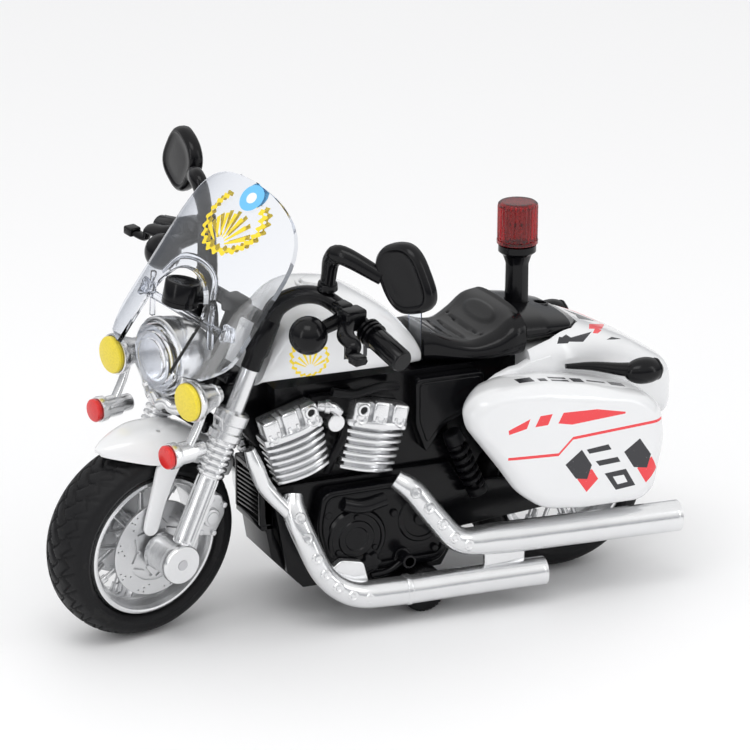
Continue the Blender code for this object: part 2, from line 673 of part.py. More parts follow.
def frame_backbone():
    """The thick middle of a frame half, over the motor and back under the seat."""
    front = FRAME_FRONT
    clear = WHEEL_RADIUS + 3.0
    rear_arc = []
    for degrees in (84, 64, 44, 24):
        a = math.radians(degrees)
        rear_arc.append((REAR_AXLE.x + clear * math.cos(a), REAR_AXLE.z + clear * math.sin(a)))
    return ([(front - 2.0, 26.6), (front - 2.0, 66.0), (rear_arc[0][0], 66.0)] + rear_arc
            + [(DRIVE_AXLE.x - 13.5, 26.6)])


def frame_neck():
    """The narrow arm from the backbone to the steering head."""
    front = FRAME_FRONT
    head = fork_point((HEAD_LOW + HEAD_HIGH) / 2)
    return [(front - 5.0, 44.0), (front - 1.0, 46.0), (head.x - 1.0, head.z - 3.4), (head.x - 2.4, head.z + 1.4),
            (front - 5.0, 65.8)]


def frame_halves(root):
    low, high = battery_box()

    def half():
        inner_y = GAP / 2
        plate_in = FRAME_HALF_WIDTH - PLATE_THICKNESS
        ring = rod(fork_point(HEAD_LOW), fork_point(HEAD_HIGH), HEAD_RADIUS, sides=20)
        bmesh.ops.bisect_plane(ring, geom=ring.verts[:] + ring.edges[:] + ring.faces[:],
                               plane_co=(0, inner_y, 0), plane_no=(0, -1, 0), clear_outer=True)
        bmesh.ops.holes_fill(ring, edges=ring.edges)
        return [slab(frame_backbone(), inner_y, plate_in + 0.1), slab(frame_plate(), plate_in, FRAME_HALF_WIDTH),
                slab(frame_neck(), inner_y, HEAD_RADIUS - 0.4), ring, side_cover()]

    def holes():
        return [rod(fork_point(HEAD_LOW - 3), fork_point(HEAD_HIGH + 3), STEM_RADIUS + RUN),
                rod(REAR_AXLE, REAR_AXLE + SIDE * 40, AXLE_RADIUS + RUN),
                box(low - Vector((GAP, GAP, GAP)), high + Vector((GAP, GAP, 30)))]

    add_pair("frame_half", half, "black_plastic", root, holes)


def battery_box():
    """The corners of the room that the button cells take, under the seat."""
    length = CELLS * (CELL_THICKNESS + GAP)
    rear = REAR_AXLE.x + 22.0
    low_z = SEAT_BOTTOM - 2 * CELL_RADIUS - 1.6
    return (Vector((rear, -CELL_RADIUS, low_z)),
            Vector((rear + length, CELL_RADIUS, low_z + 2 * CELL_RADIUS)))


def battery_cells(root):
    """The button cells in their stack, held end to end by a shrunk sleeve."""
    low, high = battery_box()
    centre_z = (low.z + high.z) / 2
    profile = [(0, GAP - 0.1)]
    for k in range(CELLS):
        start = GAP + k * (CELL_THICKNESS + GAP)
        end = start + CELL_THICKNESS - GAP
        profile += [(CELL_RADIUS - 1.0, start), (CELL_RADIUS, start + 0.6), (CELL_RADIUS, end),
                    (CELL_RADIUS - 1.0, end)]
    profile.append((0, profile[-1][1] + 0.1))
    add("button_cells", [turned(profile, (low.x, 0, centre_z), (1, 0, 0), 20)], "steel", root)


def cylinder_centre(front):
    x = ENGINE_MIDDLE + (22.4 if front else 0.0)
    return Vector((x, 0, 52.6 if front else 51.4))


def cylinder_cover(front):
    """One chrome cylinder cover on the left, with its cooling fins."""
    centre = cylinder_centre(front)
    inner = FRAME_HALF_WIDTH - PLATE_THICKNESS + 0.1 + GAP
    outer = CYLINDER_OUTER_Y
    z0, z1 = centre.z - CYLINDER_HEIGHT / 2, centre.z + CYLINDER_HEIGHT / 2
    fin = CYLINDER_HEIGHT * 0.5 / FINS
    profile = [(inner, z0)]
    for k in range(FINS):
        z = z0 + fin * k
        profile += [(outer - 0.4 * (FINS - k), z), (outer - 0.4 * (FINS - k), z + fin * 0.55),
                    (outer - 2.4, z + fin * 0.55), (outer - 2.4, z + fin)]
    profile += [(outer, z0 + fin * FINS), (outer, z1 - 2.0), (outer - 2.0, z1), (inner, z1)]
    half = CYLINDER_LENGTH / 2
    bm = loft([[(centre.x + x, y, z) for y, z in profile] for x in (-half, half)])
    return [tilted(bm, CYLINDER_TILT if front else -CYLINDER_TILT * 0.75, centre)]


def engine_cover():
    """The black cover over the engine's side, with its round timing cover."""
    inner = FRAME_HALF_WIDTH + GAP
    outer = inner + ENGINE_COVER_DEPTH
    m = ENGINE_MIDDLE
    outline = [(m + 15.5, 38.0), (m + 17.5, 28.0), (m + 14.0, 13.4), (m - 19.0, 13.4), (m - 22.0, 20.0),
               (m - 20.0, 29.0), (m - 10.0, 38.0)]
    round_cover = rod((m + 4.0, outer - 1, 24.0), (m + 4.0, outer + 1.2, 24.0), 8.5, 8.0, sides=24)
    peg_foot = Vector((m - 7.0, outer - 1.5, 17.0))
    peg = rod(peg_foot, peg_foot + SIDE * 7.0, 1.7, sides=10)
    return [slab(outline, inner, outer, bevel=0.8), round_cover, peg]


def grille(root):
    """The black cooling grille and chin between the front wheel and the engine."""
    front = FRAME_FRONT
    y = FRAME_HALF_WIDTH - PLATE_THICKNESS - 0.6
    back = front - 2.0 + GAP
    chin = SPRING_CENTRE.x + CASE_FRONT + GAP
    outline = [(back, 41.0), (front + 1.2, 41.0), (front + 1.0, 30.0), (front - 1.0, 18.0), (front - 8.6, 9.9),
               (chin, 9.9), (chin + 0.6, 12.6), (back - 3.0, 19.0), (back, 25.0)]
    fins = [slab([(back + 0.4, z), (front + 1.9, z), (front + 1.9, z + 0.8), (back + 0.4, z + 0.8)], -y + 1, y - 1)
            for z in (31.5, 34.0, 36.5, 39.0)]
    add("engine_grille", [slab(outline, -y, y)] + fins, "black_plastic", root)


def exhaust():
    """The left chrome moulding: frame tube, both header pipes, both silencers and the web between them."""
    m, end = ENGINE_MIDDLE, REAR_AXLE.x
    y = FRAME_HALF_WIDTH + GAP + ENGINE_COVER_DEPTH + HEADER_RADIUS + 1.6
    lower = tube([(m + 23.4, y - 6.6, 38.2), (m + 24.0, y - 4.6, 34.5), (m + 22.0, y - 1.4, 27.0),
                  (m + 17.0, y, 16.5), (m + 9.0, y + 0.6, 10.6), (m - 2.0, y + 1.0, 9.5),
                  (m - 22.0, y + 2.0, 9.5), (end + 15.4, y + 3.4, 9.5)],
                 [2.6, HEADER_RADIUS, HEADER_RADIUS, HEADER_RADIUS, HEADER_RADIUS + 0.4, LOWER_MUFFLER_RADIUS,
                  LOWER_MUFFLER_RADIUS, LOWER_MUFFLER_RADIUS], sides=12, per_span=2)
    upper = tube([(m - 4.6, y - 3.2, 39.6), (m - 8.6, y - 0.6, 36.4), (m - 14.0, y + 1.2, 29.0),
                  (m - 21.0, y + 1.8, 21.6), (m - 32.0, y + 2.4, 20.6), (m - 50.0, y + 4.6, 20.8),
                  (end - 23.0, y + 7.6, 21.0)],
                 [2.6, HEADER_RADIUS, HEADER_RADIUS, HEADER_RADIUS + 0.3, UPPER_MUFFLER_RADIUS,
                  UPPER_MUFFLER_RADIUS, UPPER_MUFFLER_RADIUS], sides=12, per_span=2)
    web = box((m - 40.0, y + 1.6, 11.0), (m - 28.0, y + 3.2, 19.0))
    front, beside = FRAME_FRONT, FRAME_HALF_WIDTH + 3.8
    frame_tube = tube([(front + 7.6, beside, 52.6), (front + 6.0, beside + 0.4, 48.0),
                       (front + 3.4, beside + 0.6, 41.6), (front - 2.6, y - 4.2, 34.0)],
                      [1.5, 2.1, 2.1, 1.8], sides=10, per_span=2)
    return [lower, upper, web, frame_tube]


def shock():
    """The rear spring and damper moulding beside the frame."""
    beside = FRAME_HALF_WIDTH + 3.6
    top, foot = Vector((DRIVE_AXLE.x - 9.0, beside, 49.0)), Vector((DRIVE_AXLE.x - 17.0, beside, 31.0))
    along = (top - foot).normalized()
    shapes = [rod(foot, top, 1.6, sides=10)]
    coils = 5
    for k in range(coils):
        start = foot + (top - foot) * (0.18 + 0.64 * k / coils)
        shapes.append(rod(start, start + along * 1.4, 3.0, sides=12))
    return shapes


def side_cover():
    """The raised panel on a frame half under the seat."""
    inner = FRAME_HALF_WIDTH - PLATE_THICKNESS
    x = ENGINE_MIDDLE - 12.6
    outline = [(x, 64.5), (x, 52.0), (x - 3.0, 43.5), (x - 8.0, 50.5), (x - 20.0, 56.5), (x - 20.0, 64.5)]
    return slab(outline, inner, inner + 4.6, bevel=0.8)


# ---------------------------------------------------------------- pull-back motor

def gear_outline(teeth, centre, phase):
    """A spur gear's outline of (x, z) points; phase turns its first tooth from +X."""
    pitch = GEAR_MODULE * teeth / 2
    tip, root_radius = pitch + GEAR_MODULE * 0.85, pitch - GEAR_MODULE * 1.15
    step = 2 * math.pi / teeth
    points = []
    for k in range(teeth):
        middle = phase + k * step
        for radius, share in ((root_radius, -0.33), (tip, -0.11), (tip, 0.11), (root_radius, 0.33)):
            a = middle + step * share
            points.append((centre.x + radius * math.cos(a), centre.z + radius * math.sin(a)))
    return points


def gear_spot(start, teeth, next_teeth, degrees):
    """Where the next gear's centre is, in that direction from the start gear's."""
    reach = GEAR_MODULE * (teeth + next_teeth) / 2 + 0.05
    a = math.radians(degrees)
    return start + Vector((math.cos(a), 0, math.sin(a))) * reach


IDLER_CENTRE = gear_spot(DRIVE_AXLE, DRIVE_TEETH, IDLER_TEETH, IDLER_DIRECTION)
SPRING_CENTRE = gear_spot(IDLER_CENTRE, IDLER_TEETH, SPRING_TEETH, SPRING_DIRECTION)


def gear_phases():
    """The three gears' phases, each set so that a tooth meets the last gear's gap."""
    to_idler, to_spring = math.radians(IDLER_DIRECTION), math.radians(SPRING_DIRECTION)
    drive = to_idler
    idler = to_idler + math.pi + math.pi / IDLER_TEETH
    idler_step = 2 * math.pi / IDLER_TEETH
    off = ((to_spring - idler) % idler_step) / idler_step
    spring = to_spring + math.pi + (off + 0.5) * 2 * math.pi / SPRING_TEETH
    return drive, idler, spring


def motor(root, drive_pivot, idler_pivot, spring_pivot):
    case_low = Vector((DRIVE_AXLE.x - 7.0, 0, DRIVE_AXLE.z - 4.4))
    case_high = Vector((SPRING_CENTRE.x + CASE_FRONT, 0, 25.9))
    drive_phase, idler_phase, spring_phase = gear_phases()

    def shell():
        return [box((case_low.x, GAP / 2, case_low.z), (case_high.x, CASE_HALF_WIDTH, case_high.z))]

    def cavity():
        wall = CASE_WALL
        room = box((case_low.x + wall, -5, case_low.z + wall),
                   (case_high.x - wall, CASE_HALF_WIDTH - wall, case_high.z - wall))
        bores = [rod(centre, centre + SIDE * 15, radius + RUN) for centre, radius in (
            (DRIVE_AXLE, DRIVE_AXLE_RADIUS), (IDLER_CENTRE, 0.9), (SPRING_CENTRE, 1.2))]
        return [room] + bores

    add_pair("motor_case", shell, "black_plastic", root, cavity)

    reach = ROLLER_INNER_Y + ROLLER_WIDTH
    add("drive_axle", [rod(DRIVE_AXLE - SIDE * (reach + 0.4), DRIVE_AXLE + SIDE * (reach + 0.4),
                           DRIVE_AXLE_RADIUS, sides=12)], "steel", drive_pivot)
    add("drive_gear", [slab(gear_outline(DRIVE_TEETH, DRIVE_AXLE, drive_phase), GEAR_Y, GEAR_Y + GEAR_WIDTH)],
        "nylon", drive_pivot, [rod(DRIVE_AXLE, DRIVE_AXLE + SIDE * 9, DRIVE_AXLE_RADIUS + GAP, sides=12)])

    def roller():
        inner, outer = ROLLER_INNER_Y, ROLLER_INNER_Y + ROLLER_WIDTH
        profile = [(DRIVE_AXLE_RADIUS + GAP, inner), (ROLLER_RADIUS - 0.5, inner), (ROLLER_RADIUS, inner + 0.5),
                   (ROLLER_RADIUS, outer - 0.5), (ROLLER_RADIUS - 0.5, outer), (DRIVE_AXLE_RADIUS + GAP, outer)]
        return [turned(profile, DRIVE_AXLE, SIDE, sides=24, closed=True)]

    add_pair("drive_roller", roller, "tyre_rubber", drive_pivot)

    stub = CASE_HALF_WIDTH - 0.3
    add("idler_gear", [slab(gear_outline(IDLER_TEETH, IDLER_CENTRE, idler_phase), GEAR_Y, GEAR_Y + GEAR_WIDTH),
                       rod(IDLER_CENTRE - SIDE * stub, IDLER_CENTRE + SIDE * stub, 0.9, sides=12)],
        "nylon", idler_pivot)
    add("spring_gear", [slab(gear_outline(SPRING_TEETH, SPRING_CENTRE, spring_phase), GEAR_Y, GEAR_Y + GEAR_WIDTH),
                        rod(SPRING_CENTRE - SIDE * stub, SPRING_CENTRE + SIDE * stub, 1.2, sides=12)],
        "nylon", spring_pivot)
    far_side = CASE_WALL + 1.0 - CASE_HALF_WIDTH
    add("mainspring", [slab(spiral(SPRING_CENTRE), far_side, GEAR_Y - GAP)], "steel", spring_pivot)


def spiral(centre):
    """The wound strip of the mainspring, seen along its arbor."""
    inner, outer, strip, turns, per_turn = 1.8, 7.6, 0.5, 3, 12
    edge, back = [], []
    for k in range(turns * per_turn + 1):
        a = 2 * math.pi * k / per_turn
        r = inner + (outer - inner) * k / (turns * per_turn)
        edge.append((centre.x + r * math.cos(a), centre.z + r * math.sin(a)))
        back.append((centre.x + (r - strip) * math.cos(a), centre.z + (r - strip) * math.sin(a)))
    return edge + back[::-1]


# ---------------------------------------------------------------- bodywork

def tank_rings(shrink=0.0, drop=0.0):
    """Cross-sections of the tank from its rear to its front."""
    front = fork_x(TANK_BOTTOM) - FORK_HALF_SPREAD * math.sin(STEER_LIMIT) - SLEEVE_RADIUS - 1.2
    rear = TANK_REAR
    length = front - rear
    w = TANK_HALF_WIDTH
    stations = [(0.0, TANK_TOP - 18.0, 0.5), (0.06, TANK_TOP - 13.5, 0.62), (0.2, TANK_TOP - 6.5, 0.84),
                (0.4, TANK_TOP - 1.5, 0.97), (0.62, TANK_TOP, 1.0), (0.8, TANK_TOP - 0.8, 0.95),
                (0.93, TANK_TOP - 5.0, 0.82), (1.0, TANK_TOP - 11.0, 0.66)]
    rings = []
    for share, top, wide in stations:
        x = rear + length * share
        x = min(max(x, rear + shrink), front - shrink)
        low = TANK_BOTTOM - drop
        ring = round_ring(x, low, top - shrink, w * wide - shrink, sides=18, square=0.62)
        lean = math.tan(RAKE) * share ** 2
        rings.append([(px - (pz - TANK_BOTTOM) * lean, py, pz) for px, py, pz in ring])
    return rings


def tank(root, button_pivot):
    spot = BUTTON_SPOT
    hole = rod(spot - Vector((0, 0, 9)), spot + Vector((0, 0, 9)), BUTTON_RADIUS + RUN, sides=20)
    add("fuel_tank", [loft(tank_rings())], "white_plastic", root, [loft(tank_rings(TANK_WALL, 6.0)), hole])
    stem = TANK_TOP - 8.0
    shapes = [rod((spot.x, 0, TANK_TOP - 3.0), (spot.x, 0, TANK_TOP + BUTTON_TRAVEL + 0.2), BUTTON_RADIUS,
                  BUTTON_RADIUS - 0.4, sides=20),
              rod((spot.x, 0, stem), (spot.x, 0, TANK_TOP - 2.5), 1.5, sides=10)]
    add("sound_button", shapes, "white_plastic", button_pivot)
    board_top = stem - BUTTON_TRAVEL - GAP
    board = box((spot.x - 13.0, -8.0, board_top - 1.0), (spot.x + 6.0, 8.0, board_top))
    add("circuit_board", [board], "green_board", root)
    speaker = turned([(0, 0), (6.0, 0), (6.0, 1.6), (9.0, 2.6), (9.0, 4.0), (0, 4.0)],
                     (spot.x - 4.0, 0, TANK_BOTTOM + 1.2), (0, 0, 1), sides=24)
    add("speaker", [speaker], "grey_plastic", root)


def seat(root):
    front, rear = TANK_REAR - SEAT_GAP, SEAT_REAR
    length = front - rear
    stations = [(0.0, 76.0, 0.55), (0.12, 75.8, 0.6), (0.3, 74.0, 0.7), (0.5, 73.2, 0.84), (0.7, 75.4, 0.96),
                (0.86, 78.8, 1.0), (1.0, 80.0, 0.96)]
    rings = [round_ring(front - length * share, SEAT_BOTTOM, top, 18.0 * wide, sides=16, square=0.7)
             for share, top, wide in stations]
    add("seat", [loft(rings)], "black_plastic", root)


def tail(root):
    front = SEAT_REAR - GAP
    rings = [round_ring(x, low, top, wide, sides=14, square=0.75) for x, low, top, wide in (
        (front, CAP_BOTTOM, 79.0, 17.0), (front - 7.0, CAP_BOTTOM, 78.0, 16.0),
        (front - 15.0, CAP_BOTTOM, 75.8, 13.0), (front - CAP_LENGTH, CAP_BOTTOM, 73.6, 8.0))]
    post_hole = rod((POST_X, 0, 60), (POST_X, 0, 100), POST_RADIUS + GAP, sides=20)
    screw_x = POST_X - POST_RADIUS - 4.0
    screw_seat = CAP_BOTTOM + 3.4
    screw_hole = rod((screw_x, 0, screw_seat), (screw_x, 0, 90), 1.7, sides=16)
    add("tail_cap", [loft(rings)], "black_plastic", root, [post_hole, screw_hole])
    screw = rod((screw_x, 0, screw_seat + GAP), (screw_x, 0, screw_seat + 1.5), 1.3, sides=12)
    add("seat_screw", [screw], "steel", root)
    beacon(root)
    rear_fender(root, front)


def beacon(root):
    x, foot = POST_X, SEAT_BOTTOM + 0.6
    base = BEACON_TOP - BEACON_HEIGHT
    post = turned([(0, foot), (POST_RADIUS + 1.4, foot), (POST_RADIUS + 1.4, foot + 1.6), (POST_RADIUS, foot + 2.2),
                   (POST_RADIUS, base - 5.5), (BEACON_RADIUS - 0.6, base - 2.2), (BEACON_RADIUS - 0.6, base),
                   (0, base)], (x, 0, 0), (0, 0, 1), sides=24)
    add("beacon_post", [post], "black_plastic", root)
    r = BEACON_RADIUS
    lens = turned([(0, BEACON_TOP - 1.4), (r - 1.2, BEACON_TOP - 1.4), (r - 1.2, base + GAP), (r, base + GAP),
                   (r, BEACON_TOP - 0.8), (r - 0.8, BEACON_TOP), (0, BEACON_TOP)],
                  (x, 0, 0), (0, 0, 1), sides=24)
    add("beacon_lens", [lens], "red_plastic", root)
    led = turned([(0, base + GAP), (1.6, base + GAP), (1.5, base + 4.0), (0.9, base + 5.4), (0, base + 5.8)],
                 (x, 0, 0), (0, 0, 1), sides=14)
    add("beacon_led", [led], "clear_plastic", root)


def rear_fender(root, front):
    """The white tail body over the rear wheel, cut out for the wheel, the frame and the tail cap."""
    end = REAR_AXLE.x - WHEEL_RADIUS - 3.0
    w = TAIL_HALF_WIDTH
    rings = [round_ring(x, low, top, wide, sides=18, square=0.55) for x, low, top, wide in (
        (front, 48.0, 73.0, w), (front - 10.0, 48.0, 74.6, w), (front - 16.0, 48.0, 74.2, w - 1.0),
        (front - 26.0, 47.0, 70.6, w - 3.0), (front - 36.0, 45.0, 65.8, w - 5.6), (end, 42.0, 59.0, w - 8.0))]
    clear = WHEEL_RADIUS + 3.0
    well = rod(REAR_AXLE - SIDE * (TYRE_HALF_WIDTH + 2.0), REAR_AXLE + SIDE * (TYRE_HALF_WIDTH + 2.0), clear, sides=40)
    frame_y = FRAME_HALF_WIDTH - PLATE_THICKNESS + 0.1 + GAP
    frame_room = box((REAR_AXLE.x + 2.6, -frame_y, 40), (front + 5, frame_y, SEAT_BOTTOM - 0.3))
    low, high = CAP_BOTTOM - GAP, TANK_TOP
    cap_room = loft([[(x, -y, low), (x, y, low), (x, y, high), (x, -y, high)] for x, y in (
        (front + 5, 17.6), (front, 17.6), (front - 7.0, 16.6), (front - 15.0, 13.6),
        (front - CAP_LENGTH - GAP, 8.6))])
    post_room = rod((POST_X, 0, 60), (POST_X, 0, 100), POST_RADIUS + 1.4 + GAP, sides=20)
    add("rear_fender", [loft(rings)], "white_plastic", root, [well, frame_room, cap_room, post_room])


def pannier_ring(y, wall=0.0, draw_back=0.0):
    """The pannier's side outline at that y, shrunk by about the wall, its front drawn back."""
    m, end = ENGINE_MIDDLE, REAR_AXLE.x
    outline = [(m - 28.4, 65.2), (m - 21.6, 63.4), (m - 18.8, 60.2), (m - 19.6, 55.6), (m - 30.2, 41.6),
               (m - 34.6, 35.2), (m - 42.2, 29.5), (m - 54.0, 28.0), (end - 10.4, 28.0), (end - 14.4, 30.8),
               (end - 17.4, 45.6), (end - 16.0, 54.4), (end - 11.4, 58.6), (end + 5.0, 62.6), (end + 19.0, 65.0)]
    middle = sum((Vector(point) for point in outline), Vector((0, 0))) / len(outline)
    rear = end - 17.4
    length = m - 18.8 - rear
    ring = []
    for x, z in outline:
        inwards = (middle - Vector((x, z))).normalized() * wall * 1.5
        back = draw_back * (x - rear) / length
        ring.append((x + inwards.x - back, y, z + inwards.y))
    return ring


def pannier():
    """The left white pannier: its front runs back towards the frame, its outer edge is rounded."""
    inner, outer = PANNIER_INNER_Y, PANNIER_INNER_Y + PANNIER_DEPTH
    return [loft([pannier_ring(inner, 0.0, PANNIER_DRAW), pannier_ring(inner + 5.0, 0.0, PANNIER_DRAW * 0.35),
                  pannier_ring(inner + 9.0), pannier_ring(outer - PANNIER_EDGE),
                  pannier_ring(outer - PANNIER_EDGE * 0.3, PANNIER_EDGE * 0.3),
                  pannier_ring(outer, PANNIER_EDGE * 0.8)])]


def pannier_hollow():
    """The room inside the left pannier, open towards the wheel."""
    inner, wall = PANNIER_INNER_Y, PANNIER_WALL
    return [loft([pannier_ring(inner - 1.0, wall, PANNIER_DRAW), pannier_ring(inner + 5.0, wall, PANNIER_DRAW * 0.35),
                  pannier_ring(inner + 9.0, wall), pannier_ring(inner + PANNIER_DEPTH - wall * 2.2, wall),
                  pannier_ring(inner + PANNIER_DEPTH - wall, wall * 2.0)])]


def rear_signal():
    """The rear turn signal's arm over the pannier and its teardrop head."""
    end = REAR_AXLE.x
    root = Vector((end + 8.0, TAIL_HALF_WIDTH + 1.8, 65.4))
    head = Vector((end - 12.6, PANNIER_INNER_Y + 7.3, 63.4))
    arm = tube([root, root.lerp(head, 0.5) + Vector((0, -0.4, 0.3)), head], 1.4, sides=8, per_span=2)
    return [ball(head, SIGNAL_HEAD), arm]


def pull_tab(parent):
    """The battery insulator film that stands up in front of the seat."""
    x = TANK_REAR - SEAT_GAP / 2
    film = box((x - FILM_THICKNESS / 2, 1.0, TANK_BOTTOM + 1.0), (x + FILM_THICKNESS / 2, 9.0, TANK_TOP + 1.0))
    add("battery_pull_tab", [film], "film", parent)


# ---------------------------------------------------------------- assembly

def centre_on_ground(toy):
    """Moves the whole toy so that the origin is on the ground under the middle of its box."""
    bpy.context.view_layer.update()
    graph = bpy.context.evaluated_depsgraph_get()
    corners = []
    for made in bpy.data.objects:
        if made.type == "MESH" and not made.hide_render:
            shape = made.evaluated_get(graph)
            corners += [shape.matrix_world @ v.co for v in shape.data.vertices]
    low = Vector((min(c[k] for c in corners) for k in range(3)))
    high = Vector((max(c[k] for c in corners) for k in range(3)))
    toy.location = (-(low.x + high.x) / 2, -(low.y + high.y) / 2, -low.z)


def main():
    for old in list(bpy.data.objects):
        bpy.data.objects.remove(old)
    toy = pivot("toy", (0, 0, 0))
    steering = pivot("steering_axis", STEER_FOOT, toy, Matrix.Rotation(STEER_AT_REST, 3, FORK_UP))
    front_end(steering)
    front_wheel(pivot("front_wheel_axis", FRONT_AXLE, steering))
    rear_wheel(pivot("rear_wheel_axis", REAR_AXLE, toy))
    frame_halves(toy)
    battery_cells(toy)
    for front, word in ((True, "front"), (False, "rear")):
        add_pair(f"{word}_cylinder", lambda front=front: cylinder_cover(front), "silver_paint", toy)
    add_pair("engine_cover", engine_cover, "black_plastic", toy)
    grille(toy)
    add_pair("exhaust", exhaust, "silver_paint", toy)
    add_pair("rear_shock", shock, "black_plastic", toy)
    motor(toy, pivot("drive_axis", DRIVE_AXLE, toy), pivot("idler_axis", IDLER_CENTRE, toy),
          pivot("spring_axis", SPRING_CENTRE, toy))
    tank(toy, pivot("button_axis", BUTTON_SPOT, toy))
    seat(toy)
    tail(toy)
    add_pair("pannier", pannier, "white_plastic", toy, pannier_hollow)
    add_pair("rear_signal", rear_signal, "black_plastic", toy)
    pull_tab(toy)
    centre_on_ground(toy)


main()
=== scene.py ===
import math

import bmesh
import bpy
from mathutils import Matrix, Vector


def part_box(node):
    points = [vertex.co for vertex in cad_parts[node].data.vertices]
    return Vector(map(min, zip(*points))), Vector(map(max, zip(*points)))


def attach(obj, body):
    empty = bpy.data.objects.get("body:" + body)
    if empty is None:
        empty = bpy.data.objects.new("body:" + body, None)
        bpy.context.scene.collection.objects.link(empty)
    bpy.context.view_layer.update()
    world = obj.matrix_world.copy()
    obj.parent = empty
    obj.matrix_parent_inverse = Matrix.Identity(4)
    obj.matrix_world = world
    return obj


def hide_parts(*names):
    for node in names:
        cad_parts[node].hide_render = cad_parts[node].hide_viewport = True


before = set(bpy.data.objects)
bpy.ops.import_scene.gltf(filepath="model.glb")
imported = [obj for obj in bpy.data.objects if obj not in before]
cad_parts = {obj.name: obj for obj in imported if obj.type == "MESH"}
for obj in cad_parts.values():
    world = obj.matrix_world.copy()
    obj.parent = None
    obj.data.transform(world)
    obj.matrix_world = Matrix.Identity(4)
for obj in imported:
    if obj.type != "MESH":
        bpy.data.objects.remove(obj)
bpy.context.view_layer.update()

# The toy is drawn in millimetres from the point on the ground midway between the wheels,
# +X forward, +Y to the rider's left, with the front end straight. PLACE carries that to the frame.
LOW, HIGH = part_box("rear_tyre")
WHEEL_RADIUS = 27.0
FRONT_AXLE = Vector((61.0, 0, WHEEL_RADIUS))
REAR_AXLE = Vector((-61.0, 0, WHEEL_RADIUS))
SIDE = Vector((0, 1, 0))
RAKE = math.radians(23.0)
FORK_UP = Vector((-math.sin(RAKE), 0, math.cos(RAKE)))
FORK_FORWARD = Vector((math.cos(RAKE), 0, math.sin(RAKE)))
STEER_FOOT = FRONT_AXLE - FORK_FORWARD * 2.65
STEER_AT_REST = math.radians(15.7)
FORK_Y = 13.8
TANK_REAR = -16.0
SEAT_REAR = -43.4
POST_X = -48.8
DRIVE_X = -13.5

MIDDLE = (LOW + HIGH) / 2
PLACE = Matrix.Translation((MIDDLE.x + 0.061, MIDDLE.y, 0)) @ Matrix.Scale(0.001, 4)
STEERED = (PLACE @ Matrix.Translation(STEER_FOOT) @ Matrix.Rotation(STEER_AT_REST, 4, FORK_UP)
           @ Matrix.Translation(-STEER_FOOT))


# ---------------------------------------------------------------- shapes

def placed(bm, matrix):
    bmesh.ops.transform(bm, verts=bm.verts, matrix=matrix)
    return bm


def rounded(bm, width, segments=3, sharper_than=30.0):
    """Rounds the edges that turn by more than that many degrees."""
    bm.normal_update()
    limit = math.radians(sharper_than)
    edges = [e for e in bm.edges if len(e.link_faces) == 2 and e.calc_face_angle(0.0) > limit]
    bmesh.ops.bevel(bm, geom=edges, offset=width, offset_type="OFFSET", segments=segments, profile=0.5,
                    affect="EDGES", material=-1, clamp_overlap=True)
    return bm


def block(low, high, bevel=0.0, segments=3):
    bm = bmesh.new()
    low, high = Vector(low), Vector(high)
    bmesh.ops.create_cube(bm, size=1.0)
    bmesh.ops.scale(bm, verts=bm.verts, vec=high - low)
    bmesh.ops.translate(bm, verts=bm.verts, vec=(low + high) / 2)
    return rounded(bm, bevel, segments) if bevel else bm


def rod(start, end, radius, end_radius=None, sides=32, bevel=0.0):
    """A round bar or cone, with its ends rounded by bevel."""
    bm = bmesh.new()
    start, end = Vector(start), Vector(end)
    along = end - start
    turn = along.to_track_quat("Z", "Y").to_matrix().to_4x4()
    bmesh.ops.create_cone(bm, cap_ends=True, segments=sides, radius1=radius,
                          radius2=radius if end_radius is None else end_radius,
                          depth=along.length, matrix=Matrix.Translation((start + end) / 2) @ turn)
    return rounded(bm, bevel, 3, 50.0) if bevel else bm


def ball(centre, radii, around=32):
    bm = bmesh.new()
    place = Matrix.Translation(Vector(centre)) @ Matrix.Diagonal(Vector(radii)).to_4x4()
    bmesh.ops.create_uvsphere(bm, u_segments=around, v_segments=around // 2, radius=1.0, matrix=place)
    return bm


def turned(profile, foot, axis, steps=64, closed=False, smooth=0):
    """A profile of (radius, height) points spun about the axis through foot."""
    if smooth:
        profile = [(p.x, p.y) for p in flowing([Vector((r, h, 0)) for r, h in profile], smooth)]
        profile = [(max(r, 0.0), h) for r, h in profile]
    turn = Vector(axis).to_track_quat("Z", "Y").to_matrix().to_4x4()
    bm = bmesh.new()
    verts = [bm.verts.new((radius, 0, height)) for radius, height in profile]
    edges = [bm.edges.new(pair) for pair in zip(verts, verts[1:])]
    if closed:
        edges.append(bm.edges.new((verts[-1], verts[0])))
    bmesh.ops.spin(bm, geom=verts + edges, cent=(0, 0, 0), axis=(0, 0, 1), angle=2 * math.pi,
                   steps=steps, use_merge=True)
    bmesh.ops.remove_doubles(bm, verts=bm.verts, dist=1e-4)
    bmesh.ops.recalc_face_normals(bm, faces=bm.faces)
    return placed(bm, Matrix.Translation(Vector(foot)) @ turn)


def flowing(points, per_span=6):
    """A smooth curve through the given points."""
    points = [Vector(p) for p in points]
    ends = [points[0] * 2 - points[1]] + points + [points[-1] * 2 - points[-2]]
    route = []
    for a, b, c, d in zip(ends, ends[1:], ends[2:], ends[3:]):
        for step in range(per_span):
            t = step / per_span
            route.append(0.5 * (2 * b + (c - a) * t + (2 * a - 5 * b + 4 * c - d) * t * t
                                + (3 * b - a - 3 * c + d) * t ** 3))
    return route + [points[-1]]


